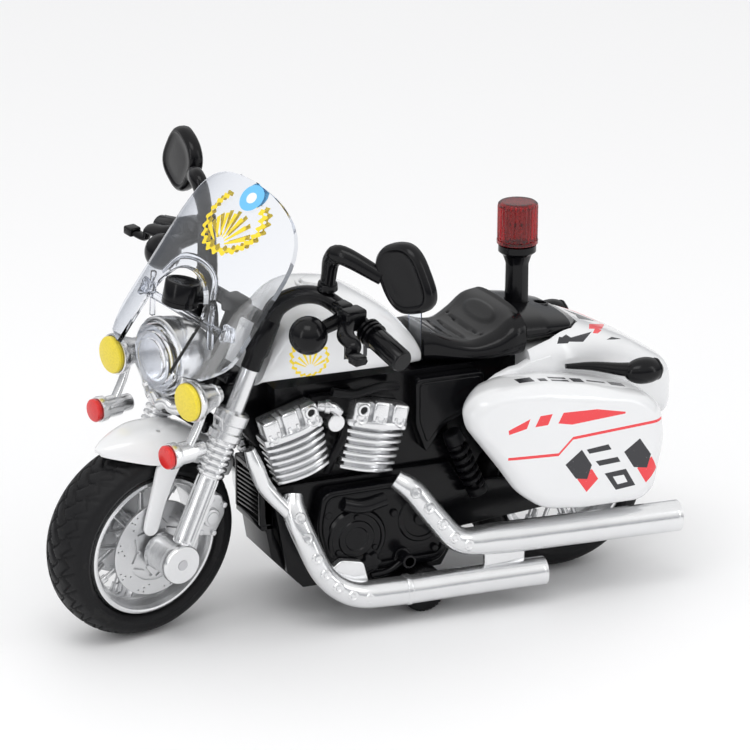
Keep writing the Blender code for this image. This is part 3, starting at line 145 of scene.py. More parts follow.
def skin(rings, capped=True):
    """Rings of points bridged one to the next, with the first and last filled."""
    bm = bmesh.new()
    loops = []
    for ring in rings:
        verts = [bm.verts.new(point) for point in ring]
        loops.append([bm.edges.new((verts[k - 1], verts[k])) for k in range(len(verts))])
    for one, two in zip(loops, loops[1:]):
        bmesh.ops.bridge_loops(bm, edges=one + two)
    if capped:
        bmesh.ops.holes_fill(bm, edges=loops[0] + loops[-1])
    bmesh.ops.recalc_face_normals(bm, faces=bm.faces)
    return bm


def tube(points, radii, sides=20, per_span=6, flat=1.0):
    """A tube along a smooth route; radii is one radius or one for each given point."""
    if not isinstance(radii, (list, tuple)):
        radii = [radii] * len(points)
    route = flowing(points, per_span)
    widths = flowing([Vector((r, 0, 0)) for r in radii], per_span)
    rings = []
    side = Vector((0, 1, 0))
    for i, point in enumerate(route):
        along = (route[min(i + 1, len(route) - 1)] - route[max(i - 1, 0)]).normalized()
        side = side - along * side.dot(along)
        side = side.normalized() if side.length > 0.2 else along.orthogonal().normalized()
        up = along.cross(side)
        rings.append([point + (side * math.cos(a) + up * math.sin(a) * flat) * widths[i].x
                      for a in (2 * math.pi * k / sides for k in range(sides))])
    return skin(rings)


def slab(outline, y_low, y_high, bevel=0.0, segments=3):
    """An outline of (x, z) points, extruded across the toy."""
    bm = bmesh.new()
    face = bm.faces.new([bm.verts.new((x, y_low, z)) for x, z in outline])
    made = bmesh.ops.extrude_face_region(bm, geom=[face])
    bmesh.ops.translate(bm, verts=[v for v in made["geom"] if isinstance(v, bmesh.types.BMVert)],
                        vec=(0, y_high - y_low, 0))
    bmesh.ops.recalc_face_normals(bm, faces=bm.faces)
    return rounded(bm, bevel, segments, 50.0) if bevel else bm


def soft_outline(points, radius, steps=5):
    """An outline of (x, z) points with its corners rounded."""
    made = []
    for k, point in enumerate(points):
        here, before, after = Vector(point), Vector(points[k - 1]), Vector(points[(k + 1) % len(points)])
        reach = min(radius, (before - here).length * 0.45, (after - here).length * 0.45)
        a = here + (before - here).normalized() * reach
        b = here + (after - here).normalized() * reach
        for step in range(steps + 1):
            t = step / steps
            made.append(tuple(a * (1 - t) ** 2 + here * 2 * t * (1 - t) + b * t * t))
    return made


def egg(x, z_low, z_high, half_width, sides=40, square=0.6):
    """A rounded cross-section of the body at x."""
    ring = []
    for k in range(sides):
        a = 2 * math.pi * (k + 0.5) / sides
        y = math.copysign(abs(math.cos(a)) ** square, math.cos(a)) * half_width
        z = math.copysign(abs(math.sin(a)) ** square, math.sin(a)) * (z_high - z_low) / 2
        ring.append(Vector((x, y, (z_low + z_high) / 2 + z)))
    return ring


def joined(shapes):
    """Several shapes as one, without cutting them together."""
    whole = bmesh.new()
    for shape in shapes:
        held = bpy.data.meshes.new("held")
        shape.to_mesh(held)
        shape.free()
        whole.from_mesh(held)
        bpy.data.meshes.remove(held)
    return whole


def cut(shape, *tools):
    """The shape with the tools' room taken out of it."""
    held = []
    for bm in (shape, joined(tools)):
        mesh = bpy.data.meshes.new("held")
        bm.to_mesh(mesh)
        bm.free()
        made = bpy.data.objects.new("held", mesh)
        bpy.context.scene.collection.objects.link(made)
        held.append(made)
    step = held[0].modifiers.new("cut", "BOOLEAN")
    step.object, step.operation, step.solver = held[1], "DIFFERENCE", "EXACT"
    step.use_self = True
    bpy.context.view_layer.update()
    result = bmesh.new()
    result.from_object(held[0], bpy.context.evaluated_depsgraph_get())
    for made in held:
        mesh = made.data
        bpy.data.objects.remove(made)
        bpy.data.meshes.remove(mesh)
    return result


def right_of(bm):
    """The same shape on the other side of the toy."""
    bmesh.ops.scale(bm, verts=bm.verts, vec=(1, -1, 1))
    bmesh.ops.reverse_faces(bm, faces=bm.faces)
    return bm


def leaning(bm, degrees, centre):
    bmesh.ops.rotate(bm, verts=bm.verts, cent=centre, matrix=Matrix.Rotation(math.radians(degrees), 3, "Y"))
    return bm


def fork_at(height, y=0.0, forward=0.0):
    """A point that far up the fork from the axle's level, on the plane of the steering axis."""
    return STEER_FOOT + FORK_UP * height + FORK_FORWARD * forward + SIDE * y


def piece(name, shapes, paint, body, slot, replaces=(), crease=32.0, soften=0):
    """Makes one finished piece, sets it in its place and lets it ride on its body."""
    bm = joined(shapes)
    bmesh.ops.transform(bm, verts=bm.verts,
                        matrix=STEERED if body in ("front_end", "front_wheel") else PLACE)
    mesh = bpy.data.meshes.new(name)
    bm.to_mesh(mesh)
    bm.free()
    made = bpy.data.objects.new(name, mesh)
    bpy.context.scene.collection.objects.link(made)
    mesh.materials.append(paint)
    mesh.shade_smooth()
    mesh.set_sharp_from_angle(angle=math.radians(crease))
    if soften:
        step = made.modifiers.new("soften", "SUBSURF")
        step.levels = step.render_levels = soften
    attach(made, body)
    if replaces:
        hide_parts(*replaces)
    return made


def both(name, shapes_of, paint, body, slot, node=None, **more):
    """A left piece and its mirror image on the right."""
    for word in ("left", "right"):
        shapes = shapes_of()
        if word == "right":
            shapes = [right_of(bm) for bm in shapes]
        piece(f"{name}_{word}", shapes, paint, body, slot, (f"{node}_{word}",) if node else (), **more)


# ---------------------------------------------------------------- finishes

class Value:
    """A number that varies over a surface; sums on it become Math nodes."""

    def __init__(self, paint, socket):
        self.paint, self.socket = paint, socket

    def math(self, operation, *others):
        inputs = [self] + list(others)
        return Value(self.paint, self.paint.node("ShaderNodeMath", {"operation": operation},
                                                 inputs).outputs[0])

    def __add__(self, other):
        return self.math("ADD", other)

    __radd__ = __add__

    def __sub__(self, other):
        return self.math("SUBTRACT", other)

    def __rsub__(self, other):
        return (self * -1.0) + other

    def __mul__(self, other):
        return self.math("MULTIPLY", other)

    __rmul__ = __mul__

    def __truediv__(self, other):
        return self.math("DIVIDE", other)

    def __lt__(self, other):
        return self.math("LESS_THAN", other)

    def __gt__(self, other):
        return self.math("GREATER_THAN", other)

    def __abs__(self):
        return self.math("ABSOLUTE")

    def least(self, other):
        return self.math("MINIMUM", other)

    def most(self, other):
        return self.math("MAXIMUM", other)

    def wave(self):
        return self.math("SINE")


class Paint:
    """A finish on the Principled shader, built up from its plain values."""

    def __init__(self, name, colour, roughness, metallic=0.0, **constants):
        self.made = bpy.data.materials.new(name)
        self.made.use_nodes = True
        self.tree = self.made.node_tree
        self.shader = self.tree.nodes["Principled BSDF"]
        self.shader.inputs["Base Color"].default_value = (*colour, 1.0)
        self.shader.inputs["Roughness"].default_value = roughness
        self.shader.inputs["Metallic"].default_value = metallic
        for socket, value in constants.items():
            self.shader.inputs[socket.replace("_", " ")].default_value = value

    def node(self, kind, settings=None, inputs=()):
        """Adds a node: its settings first, then its sockets by order or by name."""
        made = self.tree.nodes.new(kind)
        for key, value in (settings or {}).items():
            if key == "stops":
                for stop, (place, colour) in zip([made.color_ramp.elements[0], made.color_ramp.elements[-1]],
                                                 value):
                    stop.position, stop.color = place, colour
            else:
                setattr(made, key, value)
        pairs = inputs.items() if isinstance(inputs, dict) else enumerate(inputs)
        for key, value in pairs:
            socket = value.socket if isinstance(value, Value) else value
            if isinstance(socket, bpy.types.NodeSocket):
                self.tree.links.new(socket, made.inputs[key])
            else:
                made.inputs[key].default_value = value
        return made

    def where(self, home=PLACE):
        """The place on the toy in the drawing's own millimetres; home is STEERED on the front end."""
        point = self.node("ShaderNodeTexCoord").outputs["Object"]
        back = home.inverted()
        spread = self.node("ShaderNodeMapping", None, {"Vector": point, "Scale": (1000, 1000, 1000),
                                                       "Rotation": tuple(back.to_euler()),
                                                       "Location": tuple(back.translation)})
        split = self.node("ShaderNodeSeparateXYZ", None, [spread.outputs[0]])
        return [Value(self, split.outputs[k]) for k in range(3)]

    def noise(self, scale, detail=2.0, roughness=0.5, stretch=(1, 1, 1)):
        point = self.node("ShaderNodeTexCoord").outputs["Object"]
        spread = self.node("ShaderNodeMapping", None, {"Vector": point, "Scale": stretch})
        made = self.node("ShaderNodeTexNoise", None, {"Vector": spread.outputs[0], "Scale": scale,
                                                      "Detail": detail, "Roughness": roughness})
        return Value(self, made.outputs["Fac"])

    def spots(self, scale):
        point = self.node("ShaderNodeTexCoord").outputs["Object"]
        made = self.node("ShaderNodeTexVoronoi", None, {"Vector": point, "Scale": scale})
        return Value(self, made.outputs["Distance"])

    def tint(self, mask, first, second):
        """A colour that goes from first to second with the mask; each may be a socket."""
        inputs = {0: mask}
        for key, colour in ((6, first), (7, second)):
            inputs[key] = colour if isinstance(colour, bpy.types.NodeSocket) else (*colour, 1.0)
        return self.node("ShaderNodeMix", {"data_type": "RGBA"}, inputs).outputs[2]

    def use(self, socket, value):
        self.tree.links.new(value.socket if isinstance(value, Value) else value, self.shader.inputs[socket])
        return self

    def facing(self, blend=0.35):
        made = self.node("ShaderNodeLayerWeight", None, {"Blend": blend})
        return Value(self, made.outputs["Facing"])

    def grain(self, height, depth, strength=0.5):
        """Raises the surface by depth metres where height is 1."""
        bump = self.node("ShaderNodeBump", None, {"Strength": strength, "Distance": depth, "Height": height})
        self.tree.links.new(bump.outputs[0], self.shader.inputs["Normal"])
        return self


def inside(x, y, corners):
    """1 inside a convex outline on x and y, 0 outside."""
    pairs = list(zip(corners, corners[1:] + corners[:1]))
    area = sum(ax * by - bx * ay for (ax, ay), (bx, by) in pairs)
    if area < 0:
        pairs = [(b, a) for a, b in pairs]
    found = None
    for (ax, ay), (bx, by) in pairs:
        side = (y - ay) * (bx - ax) - (x - ax) * (by - ay)
        found = side if found is None else found.least(side)
    return found > 0.0


def ellipse(x, y, cx, cy, rx, ry):
    """1 inside an upright ellipse, 0 outside."""
    dx, dy = (x - cx) / rx, (y - cy) / ry
    return (dx * dx + dy * dy) < 1.0


def wreath(x, y, wide, tall, leaves):
    """Leaves set end to end round an open ring of that half width and half height."""
    dx, dy = x / wide, y / tall
    radius = (dx * dx + dy * dy).math("SQRT")
    turn = dy.math("ARCTAN2", dx)
    blades = abs((turn * leaves).wave()) * 0.085 + 0.02
    outer = abs(radius - 1.0 + (turn * leaves * 2.0).wave() * 0.05) < blades
    return outer * (y < tall * 0.72)


def fan(x, y, reach):
    """A plain fan of narrow blades opening upwards from the origin."""
    radius = (x * x + y * y).math("SQRT")
    turn = y.math("ARCTAN2", x)
    blades = (turn * 17.0).wave() > 0.15
    return blades * (radius < reach) * (radius > reach * 0.28) * (y > radius * 0.34)


def moulded(name, colour, roughness, gloss=0.6, **constants):
    """Glossy moulded plastic: slow flow marks in its colour and gloss, and a faint moulding texture."""
    paint = Paint(name, colour, roughness, 0.0, Coat_Weight=gloss, Coat_Roughness=0.06, **constants)
    flow = paint.noise(35.0, 3.0)
    paint.use("Roughness", flow * 0.14 + (roughness - 0.06))
    dark = tuple(c * 0.93 for c in colour)
    paint.use("Base Color", paint.tint(paint.noise(60.0, 4.0), dark, colour))
    return paint.grain(paint.noise(900.0, 2.0) * 0.6 + flow * 0.8, 0.00006, 0.35)


WHITE = (0.86, 0.865, 0.875)
RED = (0.86, 0.06, 0.07)
INK = (0.03, 0.03, 0.035)
YELLOW = (0.95, 0.72, 0.03)
SKY = (0.16, 0.55, 0.9)


def decorated(name, marks):
    """White moulded plastic with printed marks: pairs of a mask made from the place, and its ink."""
    paint = moulded(name, WHITE, 0.22, 0.7)
    x, y, z = paint.where()
    colour = paint.shader.inputs["Base Color"].links[0].from_socket
    gloss = None
    for mask, ink in marks(paint, x, y, z):
        worn = mask * ((paint.noise(1500.0, 2.0) > 0.30).most(0.86))
        colour = paint.tint(worn, colour, ink)
        gloss = 0.7 - mask * 0.7 if gloss is None else gloss.least(0.7 - mask * 0.7)
    paint.use("Coat Weight", gloss)
    paint.use("Base Color", colour)
    return paint.made


def pannier_marks(paint, x, y, z):
    side = abs(y) > 30.0
    red = inside(x, z, [(-30.0, 54.6), (-36.4, 57.0), (-35.4, 54.4), (-30.2, 53.4)])
    red = red.most(inside(x, z, [(-37.8, 54.5), (-39.3, 57.4), (-42.9, 57.5), (-41.6, 54.6)]))
    red = red.most(inside(x, z, [(-44.6, 54.6), (-46.1, 57.4), (-56.1, 57.0), (-64.6, 55.1), (-64.6, 54.6),
                                 (-48.7, 53.7)]))
    for a, b in (((-30.1, 46.6), (-44.9, 45.8)), ((-44.9, 45.8), (-49.1, 49.8)),
                 ((-49.1, 49.8), (-76.5, 51.2))):
        red = red.most(inside(x, z, [(a[0], a[1] - 0.4), (a[0], a[1] + 0.4), (b[0], b[1] + 0.4),
                                     (b[0], b[1] - 0.4)]))
    red = red.most(inside(x, z, [(-50.6, 38.0), (-54.9, 40.3), (-56.9, 37.2), (-53.5, 33.9)]))
    red = red.most(inside(x, z, [(-68.6, 38.5), (-72.9, 41.2), (-75.1, 37.3), (-71.4, 33.9)]))
    ink = inside(x, z, [(-47.0, 42.6), (-51.8, 46.2), (-54.9, 41.4), (-53.6, 37.6), (-50.2, 38.2)])
    ink = ink.most(inside(x, z, [(-64.5, 43.7), (-69.2, 46.9), (-72.7, 41.9), (-71.6, 38.2), (-67.6, 38.9)]))
    ink = ink.most(inside(x, z, [(-53.2, 46.0), (-59.7, 46.6), (-60.7, 45.0), (-54.1, 44.7)]))
    ink = ink.most(inside(x, z, [(-56.0, 42.3), (-62.6, 42.6), (-63.5, 41.1), (-57.2, 40.8)]))
    square = inside(x, z, [(-58.8, 38.4), (-65.2, 38.8), (-68.2, 33.7), (-62.3, 33.2)])
    hole = inside(x, z, [(-61.3, 37.1), (-64.6, 37.2), (-65.8, 35.0), (-62.8, 34.7)])
    ink = ink.most(square * (1.0 - hole))
    ay = abs(y)
    bars = None
    for start, length, low, high in ((-36.0, 4.6, 25.2, 28.6), (-42.0, 2.4, 26.6, 28.8),
                                     (-45.6, 5.2, 25.4, 26.6),
                                     (-45.6, 5.2, 27.4, 28.6), (-52.0, 3.4, 25.6, 28.6),
                                     (-56.6, 5.6, 26.4, 27.6),
                                     (-63.4, 4.4, 25.6, 28.4)):
        bar = inside(x, ay, [(start, low), (start, high), (start - length, high), (start - length, low)])
        bars = bar if bars is None else bars.most(bar)
    return [(red * side, RED), (ink * side, INK), (bars * (z > 55.0), INK)]


def tail_marks(paint, x, y, z):
    """A black zigzag and a red arrow, printed slanting across each side of the tail."""
    away = abs(y) - 17.0
    u, v = x - away * 0.526, z - away * 0.371
    ink = inside(u, v, [(-52.8, 70.3), (-53.3, 72.2), (-57.2, 71.2), (-56.0, 70.0)])
    ink = ink.most(inside(u, v, [(-53.6, 71.6), (-55.4, 72.6), (-57.2, 71.3), (-55.6, 70.4)]))
    ink = ink.most(inside(u, v, [(-56.0, 71.4), (-63.2, 72.4), (-60.6, 69.8), (-56.4, 70.4)]))
    ink = ink.most(inside(u, v, [(-67.2, 69.3), (-69.3, 70.1), (-73.0, 68.9), (-70.3, 69.2)]))
    ink = ink.most(inside(u, v, [(-58.0, 77.8), (-61.9, 77.0), (-65.6, 74.8), (-58.9, 76.7)]))
    red = inside(u, v, [(-62.3, 74.7), (-67.1, 74.1), (-66.2, 72.8), (-62.3, 73.3)])
    red = red.most(inside(u, v, [(-64.2, 73.4), (-70.1, 70.6), (-65.0, 71.6), (-62.4, 69.8)]))
    return [(ink, INK), (red, RED)]


def tank_marks(paint, x, y, z):
    """A plain spray of leaves, and a row of bars behind it."""
    side = abs(y) > 10.0
    ring = wreath(x - 19.6, z - 76.4, 4.6, 5.0, 9.0).most(fan(x - 19.6, z - 73.6, 4.4))
    bars = inside(x, z, [(10.4, 75.0), (10.4, 80.0), (9.2, 80.0), (9.2, 75.0)])
    bars = bars.most(inside(x, z, [(7.6, 75.0), (7.6, 80.0), (6.4, 80.0), (6.4, 75.0)]))
    bars = bars.most(inside(x, z, [(4.8, 75.0), (4.8, 80.0), (3.6, 80.0), (3.6, 75.0)]))
    return [(ring * side, YELLOW), (bars * side, INK)]


white_paint = moulded("white_moulding", WHITE, 0.22, 0.7).made
pannier_paint = decorated("pannier_print", pannier_marks)
tail_paint = decorated("tail_print", tail_marks)
tank_paint = decorated("tank_print", tank_marks)
black_paint = moulded("black_moulding", (0.0035, 0.0035, 0.0045), 0.2, 0.05, Specular_IOR_Level=0.2).made
satin_black = moulded("satin_black_moulding", (0.005, 0.005, 0.006), 0.36, 0.0, Specular_IOR_Level=0.18).made


def plated(name, colour, roughness):
    """Bright plated plastic: cloudy patches, fine scratches and moulding ripple."""
    paint = Paint(name, colour, roughness, 0.92)
    cloud = paint.noise(70.0, 4.0, 0.6)
    paint.use("Base Color", paint.tint(cloud, tuple(c * 0.86 for c in colour), colour))
    paint.use("Roughness", cloud * 0.12 + paint.noise(420.0, 2.0, 0.5, (1, 6, 1)) * 0.08 + (roughness - 0.08))
    return paint.grain(paint.noise(240.0, 3.0) + paint.noise(1600.0, 1.0) * 0.3, 0.00012, 0.3).made


silver_paint = plated("silver_plating", (0.86, 0.865, 0.875), 0.22)
satin_silver = plated("satin_silver", (0.74, 0.745, 0.755), 0.34)


def soft_rubber():
    paint = Paint("tyre_rubber", (0.008, 0.008, 0.009), 0.55, 0.0, Specular_IOR_Level=0.2)
    dust = paint.noise(160.0, 5.0, 0.65)
    paint.use("Base Color", paint.tint((dust > 0.62) * 0.4, (0.008, 0.008, 0.009), (0.022, 0.022, 0.021)))
    paint.use("Roughness", dust * 0.3 + 0.36)
    return paint.grain(paint.noise(1400.0, 3.0) + paint.spots(700.0) * 0.4, 0.00012, 0.5).made


rubber_paint = soft_rubber()


def see_through(name, colour, roughness, wave=0.4):
    paint = Paint(name, colour, roughness, 0.0, Transmission_Weight=1.0, IOR=1.46)
    paint.use("Roughness", paint.noise(90.0, 3.0) * 0.04 + roughness)
    # Painted shade: the base colour turns a darker blue-grey towards grazing angles, standing in for the
    # darker refraction seen at the edges of the clear parts.
    edge = (paint.facing(0.3) * 1.15).least(1.0)
    paint.use("Base Color", paint.tint(edge, colour, tuple(c * e for c, e in zip(colour, (0.66, 0.7, 0.8)))))
    return paint.grain(paint.noise(60.0, 2.0) * wave + paint.noise(700.0, 2.0) * 0.08, 0.0001, 0.3)


clear_paint = see_through("clear_moulding", (0.97, 0.98, 1.0), 0.015).made


def windshield_paint():
    """The clear sheet with its printed spray of leaves and plain round spot."""
    paint = see_through("windshield_print", (0.96, 0.975, 1.0), 0.01, 0.1)
    x, y, z = paint.where(STEERED)
    gold = wreath(y - 3.2, z - 112.4, 9.0, 6.6, 11.0).most(fan(y - 3.2, z - 106.8, 7.6))
    spot = ellipse(y, z, 4.8, 118.6, 3.6, 2.9)
    core = ellipse(y, z, 4.8, 118.6, 1.5, 1.2)
    printed = gold.most(spot)
    colour = paint.tint(spot, YELLOW, SKY)
    colour = paint.tint(core, colour, (0.9, 0.93, 0.97))
    solid = paint.node("ShaderNodeBsdfPrincipled", None, {"Base Color": colour, "Roughness": 0.45})
    mixer = paint.node("ShaderNodeMixShader", None, {0: printed, 1: paint.shader.outputs[0],
                                                     2: solid.outputs[0]})
    paint.tree.links.new(mixer.outputs[0], paint.tree.nodes["Material Output"].inputs["Surface"])
    return paint.made


def pigmented(name, colour, roughness):
    paint = Paint(name, colour, roughness, 0.0, Coat_Weight=0.3)
    speck = paint.spots(2600.0)
    paint.use("Base Color", paint.tint(speck, colour, tuple(c * 0.8 for c in colour)))
    paint.use("Roughness", paint.noise(300.0, 3.0) * 0.2 + (roughness - 0.1))
    return paint.grain(paint.noise(1800.0, 2.0), 0.00008, 0.4).made


yellow_paint = pigmented("yellow_face", (0.93, 0.74, 0.03), 0.38)
red_paint = pigmented("red_face", (0.8, 0.02, 0.02), 0.3)
steel_paint = plated("bright_steel", (0.62, 0.62, 0.64), 0.3)
beacon_paint = see_through("clear_red", (0.42, 0.003, 0.006), 0.1).made
# Painted shade: a near-black finish for the disc set in each cylinder's bolt hole, standing in for the shade
# inside the hole.
hole_shade_paint = moulded("painted_hole_shade", (0.006, 0.006, 0.007), 0.7, 0.0).made


# ---------------------------------------------------------------- wheels

def groove(angle, y):
    """How deep the tread is cut, in millimetres, at an angle round the tyre and a distance off its middle."""
    turn = angle / (2 * math.pi)
    depth = 0.0
    for count, home, swing, width in ((30, 0.0, 1.3, 0.42), (30, 3.9, 1.1, 0.36), (30, -3.9, 1.1, 0.36)):
        zigzag = abs(((turn * count) % 1.0) * 2 - 1) * 2 - 1
        off = abs(y - home - zigzag * swing)
        depth = max(depth, min(1.0, max(0.0, (width - off) / 0.22)) * 0.55)
    slant = (turn * 30 + abs(y) * 0.11 + (0.5 if y > 0 else 0.0)) % 1.0
    if 1.2 < abs(y) < 6.3:
        depth = max(depth, min(1.0, max(0.0, (0.075 - abs(slant - 0.5)) / 0.03)) * 0.5)
    return depth


def tyre(name, centre, body):
    """A soft tyre: a spun section with its tread cut in and thin rings on its walls."""
    crown = [(27.0 - 1.75 * (abs(k) / 13) ** 2.4, k * 0.47) for k in range(13, -14, -1)]
    wall = [(20.1, 6.5), (20.6, 7.35), (21.3, 7.75), (21.5, 7.92), (21.9, 7.92), (22.1, 7.8), (23.0, 7.9),
            (24.0, 7.6),
            (24.7, 7.1)]
    profile = wall + crown + [(r, -y) for r, y in reversed(wall)] + [(19.9, -3.0), (19.9, 3.0)]
    bm = turned(profile, (0, 0, 0), (0, 0, 1), steps=300, closed=True)
    for v in bm.verts:
        radius = math.hypot(v.co.x, v.co.y)
        if radius > 24.6:
            less = groove(math.atan2(v.co.y, v.co.x), v.co.z)
            v.co.x -= v.co.x / radius * less
            v.co.y -= v.co.y / radius * less
    placed(bm, Matrix.Translation(centre) @ SIDE.to_track_quat("Z", "Y").to_matrix().to_4x4())
    piece(f"{name}_tread", [bm], rubber_paint, body, "soft_tyre", (f"{name}_tyre",), crease=50.0)


def round_the_wheel(centre, angle, radius, y=0.0):
    return centre + Vector((math.sin(angle) * radius, y, math.cos(angle) * radius))


def rim(name, centre, body, hub_half):
    """The rim's drop-centre ring, its hub and nine pairs of spokes."""
    half = [(19.65, 0.0), (19.65, 6.2), (19.2, 7.1), (18.6, 7.35), (18.1, 7.2), (17.8, 6.6), (17.4, 5.4),
            (16.6, 4.6),
            (16.2, 3.0), (16.2, 0.0)]
    profile = half + [(r, -y) for r, y in reversed(half[1:-1])]
    shapes = [turned(profile, centre, SIDE, steps=120, closed=True)]
    hub = [(0, -hub_half), (3.6, -hub_half), (4.3, 0.5 - hub_half), (4.3, 2.0 - hub_half),
           (3.2, 2.8 - hub_half),
           (3.2, hub_half - 2.8), (4.3, hub_half - 2.0), (4.3, hub_half - 0.5), (3.6, hub_half),
           (0, hub_half)]
    shapes.append(turned(hub, centre, SIDE, steps=48))
    for k in range(9):
        middle = 2 * math.pi * k / 9
        for lean in (-1, 1):
            inner = round_the_wheel(centre, middle + lean * 0.30, 3.6, lean * 2.6)
            outer = round_the_wheel(centre, middle + lean * 0.085, 16.6, lean * 1.5)
            knee = inner.lerp(outer, 0.82)
            shapes.append(rod(inner, outer, 0.72, 0.62, sides=14))
            shapes.append(rod(knee, outer, 1.05, 1.05, sides=14, bevel=0.15))
        shapes.append(rod(round_the_wheel(centre, middle, 12.0, -1.6),
                          round_the_wheel(centre, middle, 16.4, -1.0),
                          0.7, 0.9, sides=12))
    return shapes


def brake_disc(side):
    """A drilled disc on its carrier, with slots round the hub."""
    face = 7.3
    centre = FRONT_AXLE
    ring = turned([(9.2, face), (13.2, face), (13.3, face + 0.1), (13.3, face + 0.7), (13.2, face + 0.8),
                   (9.2, face + 0.8)], centre, SIDE, steps=96, closed=True)
    carrier = turned([(2.0, face - 0.3), (9.3, face - 0.3), (9.3, face + 0.35), (8.6, face + 0.5),
                      (2.0, face + 0.5)],
                     centre, SIDE, steps=72, closed=True)
    drills = []
    for k in range(9):
        for step, radius in ((-0.13, 12.3), (0.0, 11.4), (0.13, 10.4), (0.02, 12.5)):
            spot = round_the_wheel(centre, 2 * math.pi * k / 9 + step, radius, face)
            drills.append(rod(spot - SIDE * 1.5, spot + SIDE * 2.5, 0.24, sides=10))
    slots = []
    for k in range(6):
        a = 2 * math.pi * k / 6
        one = round_the_wheel(centre, a, 8.3, face)
        two = round_the_wheel(centre, a + 0.5, 6.4, face)
        three = round_the_wheel(centre, a + 0.86, 8.0, face)
        for start, end in ((one, two), (two, three)):
            along = (end - start).normalized()
            wide = along.cross(SIDE) * 0.38
            bar = bmesh.new()
            base = bar.faces.new([bar.verts.new(p - SIDE * 0.15) for p in (
                start - wide, end - wide + along * 0.2, end + wide + along * 0.2, start + wide)])
            made = bmesh.ops.extrude_face_region(bar, geom=[base])
            bmesh.ops.translate(bar, verts=[v for v in made["geom"] if isinstance(v, bmesh.types.BMVert)],
                                vec=SIDE * 3)
            bmesh.ops.recalc_face_normals(bar, faces=bar.faces)
            slots.append(bar)
    shapes = [cut(ring, *drills), cut(carrier, *slots)]
    for k in range(6):
        spot = round_the_wheel(centre, 2 * math.pi * (k + 0.5) / 6, 5.6, face + 0.5)
        shapes.append(rod(spot, spot + SIDE * 0.5, 0.55, 0.45, sides=12))
    return shapes if side > 0 else [right_of(bm) for bm in shapes]


def wheels():
    tyre("front", FRONT_AXLE, "front_wheel")
    tyre("rear", REAR_AXLE, "rear_wheel")
    piece("front_wheel_casting", rim("front", FRONT_AXLE, "front_wheel", 7.0), silver_paint, "front_wheel",
          "silver_body", ("front_rim",))
    piece("brake_disc_left", brake_disc(1), satin_silver, "front_wheel", "silver_body")
    piece("brake_disc_right", brake_disc(-1), satin_silver, "front_wheel", "silver_body")
    piece("rear_wheel_casting", rim("rear", REAR_AXLE, "rear_wheel", 7.4), silver_paint, "rear_wheel",
          "silver_body",
          ("rear_rim",))


# ---------------------------------------------------------------- front end

def fork_leg_shapes():
    """A fluted slider with its axle boss, the stacked bellows, the clamp and the upper tube."""
    y = FORK_Y
    rings = []
    for height, size in ((2.0, 1.06), (3.0, 1.0), (22.0, 1.0), (23.4, 0.96)):
        ring = []
        for k in range(48):
            a = 2 * math.pi * k / 48
            radius = (2.95 - (0.34 if (k // 3) % 2 else 0.0)) * size
            ring.append(fork_at(height, y + math.sin(a) * radius, math.cos(a) * radius))
        rings.append(ring)
    bellows = []
    for k in range(6):
        low = 23.6 + k * 1.75
        bellows += [(3.0, low), (3.75, low + 0.35), (3.9, low + 0.85), (3.75, low + 1.3), (3.05, low + 1.6)]
    foot = STEER_FOOT + SIDE * y
    stack = turned([(0, 23.2), (2.9, 23.2)] + bellows + [(3.2, 34.4), (0, 34.4)], foot, FORK_UP, steps=48)
    clamp = turned([(0, 33.6), (3.9, 33.6), (4.5, 34.2), (4.5, 36.0), (4.0, 36.4), (4.0, 38.2), (4.5, 38.6),
                    (4.5, 41.4),
                    (3.9, 42.0), (0, 42.0)], foot, FORK_UP, steps=48)
    pad = block(fork_at(33.8, y - 2.0, 2.6) - Vector((0.6, 0, 0)), fork_at(39.6, y + 2.2, 4.6), 0.5)
    bolt_hole = rod(fork_at(38.0, y, 2.0), fork_at(38.0, y, 7.0), 0.7, sides=16)
    upper = rod(fork_at(41.5, y), fork_at(54.0, y), 2.45, sides=40)
    y_in, y_out = 8.9, 19.75
    boss = turned([(0, y_in), (4.6, y_in), (5.0, y_in + 0.4), (5.0, y_in + 2.6), (4.8, y_in + 3.0),
                   (4.8, y_out - 3.0),
                   (5.25, y_out - 2.8), (5.4, y_out - 2.3), (5.4, y_out - 0.4), (5.15, y_out), (0, y_out)],
                  FRONT_AXLE, SIDE, steps=64)
    boss = cut(boss, rod(FRONT_AXLE + SIDE * (y_out - 1.6), FRONT_AXLE + SIDE * (y_out + 2), 1.45, sides=28))
    web = skin([[fork_at(4.0, y - 1.6, 1.5), fork_at(4.0, y + 1.6, 1.5), fork_at(4.0, y + 1.6, -2.6),
                 fork_at(4.0, y - 1.6, -2.6)],
                [fork_at(19.0, y - 1.2, -0.5), fork_at(19.0, y + 1.2, -0.5), fork_at(19.0, y + 1.2, -3.6),
                 fork_at(19.0, y - 1.2, -3.6)]])
    return [skin(rings), cut(joined([clamp, pad]), bolt_hole), stack, upper, boss, web]


def caliper_shapes():
    """The brake caliper behind the leg: two half bodies, a round boss and its bolts."""
    y = FORK_Y
    centre = fork_at(13.0, y - 1.6, -5.6)
    body = slab(soft_outline([(-3.6, -5.4), (2.4, -6.0), (4.2, -1.0), (3.0, 5.4), (-1.0, 6.2), (-4.4, 1.6)],
                             1.4),
                -1.9, 1.9, 0.5)
    boss = rod((0.2, 1.4, -0.4), (0.2, 3.0, -0.4), 2.7, 2.5, sides=32, bevel=0.3)
    inner = rod((0.2, 2.9, -0.4), (0.2, 3.35, -0.4), 1.8, 1.7, sides=28, bevel=0.15)
    shapes = [body, boss, inner]
    for x, z in ((2.2, 4.3), (-2.6, 3.6), (1.6, -4.9), (-2.6, -4.4)):
        shapes.append(rod((x, 1.6, z), (x, 2.7, z), 0.85, 0.75, sides=14, bevel=0.15))
    shapes.append(tube([(2.0, 0.4, 5.6), (3.8, 0.4, 7.6), (5.2, 0.2, 9.6)], 0.7, sides=10))
    turn = Matrix.Rotation(-RAKE, 4, "Y")
    return [placed(bm, Matrix.Translation(centre) @ turn) for bm in shapes]


